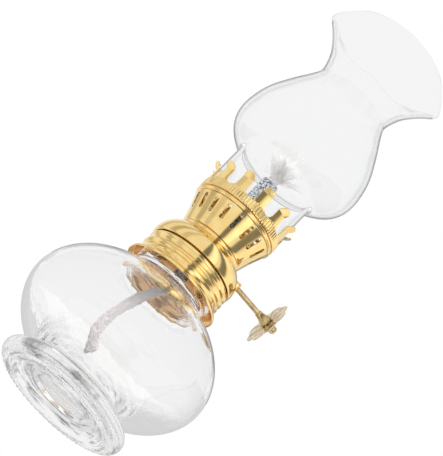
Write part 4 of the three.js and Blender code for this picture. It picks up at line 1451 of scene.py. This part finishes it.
# Upright bands of the studio, as metal sees them: direction from the lamp in degrees from +X towards +Y,
# half the width in degrees, and the brightness there.
STUDIO_BANDS = [
    (-97, 7, 0.24),
    (-75, 8, 1.45),
    (-41, 12, 0.26),
    (-4, 16, 1.2),
    (58, 13, 0.5),
    (126, 8, 0.7),
    (168, 9, 0.6),
    (-158, 7, 0.75),
]
KEY_PLACE = (-0.5, -0.55, 0.75)
KEY_SIZE = 0.5
FLOOR_HEIGHT = -0.4 * MM
# The floor's rings of quads, and the distances from the axis between which it fades out.
FLOOR_RINGS = (0, 0.02, 0.05, 0.1, 0.2, 0.4, 0.8, 1.6)
FLOOR_FADE = (0.5, 1.5)
# The card's profile, out from beside the foot and then up: radius, height, and the angle where it begins.
CARD_PROFILE = [
    (26 * MM, -0.2 * MM, -42),
    (60 * MM, -0.2 * MM, -37),
    (100 * MM, -0.2 * MM, -32),
    (150 * MM, -0.2 * MM, -27),
    (150 * MM, 40 * MM, -22),
    (150 * MM, 90 * MM, -16),
]
CARD_ENDS = 122
# The card's darker edge: where it begins to lighten and is light, along the card, and how light it is.
CARD_EDGE = (4 * MM, 16 * MM)
CARD_EDGE_SHARE = 0.25


def view_back(stage):
    """The direction from the lamp to the camera."""
    a, e = stage.azimuth, stage.elevation
    return Vector((math.sin(a) * math.cos(e), -math.cos(a) * math.cos(e), math.sin(e)))


def make_camera(stage):
    """The camera looks at the aim point from the given turn, height and distance, and rolls about its line
    of sight."""
    back = view_back(stage)
    level = Vector((0, 0, 1)).cross(back).normalized()
    upright = back.cross(level)
    right = math.cos(stage.roll) * level + math.sin(stage.roll) * upright
    up = math.cos(stage.roll) * upright - math.sin(stage.roll) * level
    data = bpy.data.cameras.new("Camera")
    data.lens = stage.lens
    data.clip_start = 0.01
    camera = bpy.data.objects.new("Camera", data)
    turn = Matrix((right, up, back)).transposed().to_4x4()
    camera.matrix_world = Matrix.Translation(Vector(stage.aim) + back * stage.distance) @ turn
    bpy.context.scene.collection.objects.link(camera)
    bpy.context.scene.camera = camera


def studio_bands(tree, direction):
    """Brightness of the studio in a direction: 1, changed towards each band's brightness where the
    direction's level part comes near the band's own."""
    level = level_part(tree, direction)[1]
    light = 1.0
    for turn, half_width, brightness in STUDIO_BANDS:
        turn = math.radians(turn)
        facing = vector_math(tree, "DOT_PRODUCT", level, (math.cos(turn), math.sin(turn), 0))
        outer = math.cos(math.radians(half_width * 1.4))
        inner = math.cos(math.radians(half_width * 0.6))
        near = ranged(tree, facing, outer, inner, 1.0, brightness)
        light = math_node(tree, "MULTIPLY", light, near)
    return light


def glass_light(tree, turned_back, once, more):
    """Brightness of the studio to light that glass has turned back: one level after the first turn, and
    another from the second on."""
    again = ranged(tree, turned_back, 1.0, 2.0, smooth=False)
    return mixed_numbers(tree, again, once, more)


def make_world(stage):
    """White to the camera, an even level for plain surfaces, and a studio of white walls with dark and
    bright bands for what metal reflects. Clear glass shows the room nearly white. What glass itself mirrors
    is white too, but for a dark screen straight behind the lamp, which draws its outlines, and light that
    keeps turning back inside it comes from the room's darker parts."""
    world = bpy.data.worlds.new("Studio")
    world.use_nodes = True
    tree = world.node_tree
    tree.nodes.clear()
    ray = add_node(tree, "ShaderNodeLightPath").outputs
    turned_back = ray["Glossy Depth"]
    direction = add_node(tree, "ShaderNodeTexCoord").outputs["Generated"]
    lower = ranged(tree, height_part(tree, direction), *DIM_BELOW)
    mirrored = math_node(tree, "MULTIPLY", studio_bands(tree, direction), lower)
    behind = vector_math(tree, "DOT_PRODUCT", direction, -view_back(stage))
    once = ranged(tree, behind, SCREEN_EDGE, SCREEN_CORE, stage.glare, stage.screen)
    more = ranged(tree, mirrored, 0.0, 1.0, INSIDE_LEAST * stage.inside, stage.inside, smooth=False)
    in_glass = glass_light(tree, turned_back, once, more)
    spent = ranged(tree, ray["Transmission Depth"], *DIM_THROUGH, smooth=False)
    lit = ranged(tree, ray["Diffuse Depth"], 0.0, 1.0, stage.clear, stage.lit_through, smooth=False)
    clear = math_node(tree, "MULTIPLY", spent, lit)
    any_turn = math_node(tree, "MINIMUM", turned_back, 1.0)
    through_glass = mixed_numbers(tree, any_turn, clear, in_glass)
    sharp = mixed_numbers(tree, ray["Is Singular Ray"], mirrored, in_glass)
    through = ray["Is Transmission Ray"]
    reflected = math_node(tree, "SUBTRACT", ray["Is Glossy Ray"], through, clamp=True)
    level = ray["Is Camera Ray"]
    for kind, brightness in (
        (ray["Is Diffuse Ray"], stage.day),
        (reflected, sharp),
        (through, through_glass),
    ):
        share = math_node(tree, "MULTIPLY", kind, brightness)
        level = math_node(tree, "ADD", level, share)
    light = add_node(tree, "ShaderNodeBackground", {"Color": WHITE, "Strength": level})
    add_node(tree, "ShaderNodeOutputWorld", {"Surface": light.outputs[0]})
    bpy.context.scene.world = world


def make_key_lamp(stage):
    """The soft square key lamp, which faces the camera's aim point. Metal and glass don't mirror it."""
    data = bpy.data.lights.new("Key", "AREA")
    data.size = KEY_SIZE
    data.energy = stage.key
    lamp = bpy.data.objects.new("Key", data)
    lamp.visible_glossy = False
    lamp.visible_transmission = False
    turn = (Vector(stage.aim) - Vector(KEY_PLACE)).to_track_quat("-Z", "Y").to_matrix().to_4x4()
    lamp.matrix_world = Matrix.Translation(KEY_PLACE) @ turn
    bpy.context.scene.collection.objects.link(lamp)


def white_light(tree, level):
    """Plain white at a level, whatever lights it."""
    return add_node(tree, "ShaderNodeEmission", {"Color": WHITE, "Strength": level}).outputs[0]


def shown_where(tree, share, first, second):
    """The first shader where the share is 0, and the second where it is 1."""
    return add_node(tree, "ShaderNodeMixShader", {0: share, 1: first, 2: second}).outputs[0]


def nothing(tree):
    """A surface that can't be seen."""
    return add_node(tree, "ShaderNodeBsdfTransparent").outputs[0]


def make_floor(stage):
    """A pale round floor just under the foot: rings of quads round the axis, level everywhere. It can't be
    seen from below and fades out towards its edge. Metal mirrors the studio's bands in it, glass shows it
    plain white, and what polished glass mirrors of it has the levels that the world has in glass."""
    rings = np.array([(radius, FLOOR_HEIGHT) for radius in FLOOR_RINGS])
    floor = surface("Floor", turned(rings, 96)[::-1])
    material, tree = new_material("floor")
    place = object_place(tree)
    ray = add_node(tree, "ShaderNodeLightPath").outputs
    below = add_node(tree, "ShaderNodeNewGeometry").outputs["Backfacing"]
    paint = {"Color": (*stage.floor_colour, 1.0)}
    paper = add_node(tree, "ShaderNodeBsdfDiffuse", paint).outputs[0]
    turned_back = math_node(tree, "MULTIPLY", ray["Is Singular Ray"], ray["Glossy Depth"])
    in_glass = glass_light(tree, turned_back, stage.glare, stage.inside)
    in_metal = mixed_numbers(tree, ray["Is Transmission Ray"], studio_bands(tree, place), 1.0)
    polished = math_node(tree, "MINIMUM", turned_back, 1.0)
    level = mixed_numbers(tree, polished, in_metal, in_glass)
    shiny = math_node(tree, "MAXIMUM", ray["Is Glossy Ray"], ray["Is Transmission Ray"])
    seen = shown_where(tree, shiny, paper, white_light(tree, level))
    faded = ranged(tree, vector_math(tree, "LENGTH", place), *FLOOR_FADE)
    hidden = math_node(tree, "MAXIMUM", below, faded)
    show(tree, shown_where(tree, hidden, seen, nothing(tree)))
    floor.data.materials.append(material)


def make_card(stage):
    """A dark studio card that only polished glass mirrors. It lies on the floor beside the font and turns up
    into a low wall. Each point of its profile is carried round the axis from the angle where it begins, and
    the card is darker along the edge where it begins."""
    radius, height, begins = np.array(CARD_PROFILE).T[:, :, None]
    share = np.linspace(0, 1, 60)[None]
    angle = np.radians(begins) + (math.radians(CARD_ENDS) - np.radians(begins)) * share
    card = surface("Card", round_axis(radius, angle, height), wrap_columns=False)
    material, tree = new_material("card")
    ray = add_node(tree, "ShaderNodeLightPath").outputs
    turned_back = math_node(tree, "MINIMUM", ray["Glossy Depth"], 1.0)
    seen = math_node(tree, "MULTIPLY", turned_back, ray["Is Singular Ray"])
    sheet = add_node(tree, "ShaderNodeTexCoord").outputs["UV"]
    from_edge = add_node(tree, "ShaderNodeSeparateXYZ", {0: sheet}).outputs[0]
    level = ranged(tree, from_edge, *CARD_EDGE, CARD_EDGE_SHARE * stage.card, stage.card)
    show(tree, shown_where(tree, seen, nothing(tree), white_light(tree, level)))
    card.data.materials.append(material)


def make_stage(stage):
    """Camera, world, lamp, floor and card, and the plain view transform."""
    make_camera(stage)
    make_world(stage)
    make_key_lamp(stage)
    make_floor(stage)
    make_card(stage)
    bpy.context.scene.view_settings.view_transform = "Standard"


# ---------------------------------------------------------------- operators and panel


class StageOperator(bpy.types.Operator):
    """Make the camera, the light and the floor"""

    bl_idname = "oil_lamp.make_stage"
    bl_label = "Stage"

    def execute(self, context):
        make_stage(context.scene.lamp_stage)
        return {"FINISHED"}


class TailOperator(bpy.types.Operator):
    """Make the wick's loose tail"""

    bl_idname = "oil_lamp.make_tail"
    bl_label = "Wick tail"

    def execute(self, context):
        make_tail(context.scene.lamp_wick)
        return {"FINISHED"}


class WickOperator(bpy.types.Operator):
    """Make the braided wick and its frayed head"""

    bl_idname = "oil_lamp.make_wick"
    bl_label = "Wick"

    def execute(self, context):
        make_core()
        make_tuft(context.scene.lamp_wick)
        return {"FINISHED"}


class FontOperator(bpy.types.Operator):
    """Make the glass font"""

    bl_idname = "oil_lamp.make_font"
    bl_label = "Glass font"

    def execute(self, context):
        make_font(context.scene.lamp_font)
        return {"FINISHED"}


class ChimneyOperator(bpy.types.Operator):
    """Make the glass chimney"""

    bl_idname = "oil_lamp.make_chimney"
    bl_label = "Glass chimney"

    def execute(self, context):
        make_chimney(context.scene.lamp_chimney)
        return {"FINISHED"}


class ShellOperator(bpy.types.Operator):
    """Make the collar, the dome and the pierced cone"""

    bl_idname = "oil_lamp.make_shell"
    bl_label = "Burner shell"

    def execute(self, context):
        burner = context.scene.lamp_burner
        make_collar(burner)
        make_dome(burner)
        make_cone(burner)
        return {"FINISHED"}


class GalleryOperator(bpy.types.Operator):
    """Make the bead, the pronged gallery, the air diffuser and the wick tube"""

    bl_idname = "oil_lamp.make_gallery"
    bl_label = "Gallery"

    def execute(self, context):
        make_bead()
        make_gallery(context.scene.lamp_burner)
        make_diffuser()
        make_tube()
        return {"FINISHED"}


class KnobOperator(bpy.types.Operator):
    """Make the spindle, its bushing, the hub, the thumb wheel and the nub"""

    bl_idname = "oil_lamp.make_knob"
    bl_label = "Wick knob"

    def execute(self, context):
        make_rod()
        make_hub()
        make_thumb_wheel(context.scene.lamp_knob)
        return {"FINISHED"}


class WorksOperator(bpy.types.Operator):
    """Finish the CAD nodes that stay: the plate, the feed's works and the gasket"""

    bl_idname = "oil_lamp.finish_works"
    bl_label = "Inner works"

    def execute(self, context):
        finish_kept_nodes()
        return {"FINISHED"}


SETTINGS = {
    "lamp_stage": StageSettings,
    "lamp_font": FontSettings,
    "lamp_chimney": ChimneySettings,
    "lamp_burner": BurnerSettings,
    "lamp_knob": KnobSettings,
    "lamp_wick": WickSettings,
}
OPERATORS = [
    StageOperator,
    TailOperator,
    WickOperator,
    FontOperator,
    ChimneyOperator,
    ShellOperator,
    GalleryOperator,
    KnobOperator,
    WorksOperator,
]


class LampPanel(bpy.types.Panel):
    """The lamp's settings, and a button for each group of pieces"""

    bl_idname = "VIEW3D_PT_oil_lamp"
    bl_label = "Oil Lamp"
    bl_space_type = "VIEW_3D"
    bl_region_type = "UI"
    bl_category = "Oil Lamp"

    def draw(self, context):
        for operator in OPERATORS:
            self.layout.operator(operator.bl_idname)
        for name, settings in SETTINGS.items():
            box = self.layout.box()
            for key in settings.__annotations__:
                box.prop(getattr(context.scene, name), key)


def register():
    for settings in SETTINGS.values():
        bpy.utils.register_class(settings)
    for name, settings in SETTINGS.items():
        setattr(bpy.types.Scene, name, PointerProperty(type=settings))
    for operator in OPERATORS:
        bpy.utils.register_class(operator)
    bpy.utils.register_class(LampPanel)


def unregister():
    bpy.utils.unregister_class(LampPanel)
    for operator in reversed(OPERATORS):
        bpy.utils.unregister_class(operator)
    for name in SETTINGS:
        delattr(bpy.types.Scene, name)
    for settings in reversed(SETTINGS.values()):
        bpy.utils.unregister_class(settings)


def main():
    """Registers the add-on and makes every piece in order."""
    register()
    for operator in OPERATORS:
        group, name = operator.bl_idname.split(".")
        getattr(getattr(bpy.ops, group), name)()


if __name__ == "__main__":
    main()
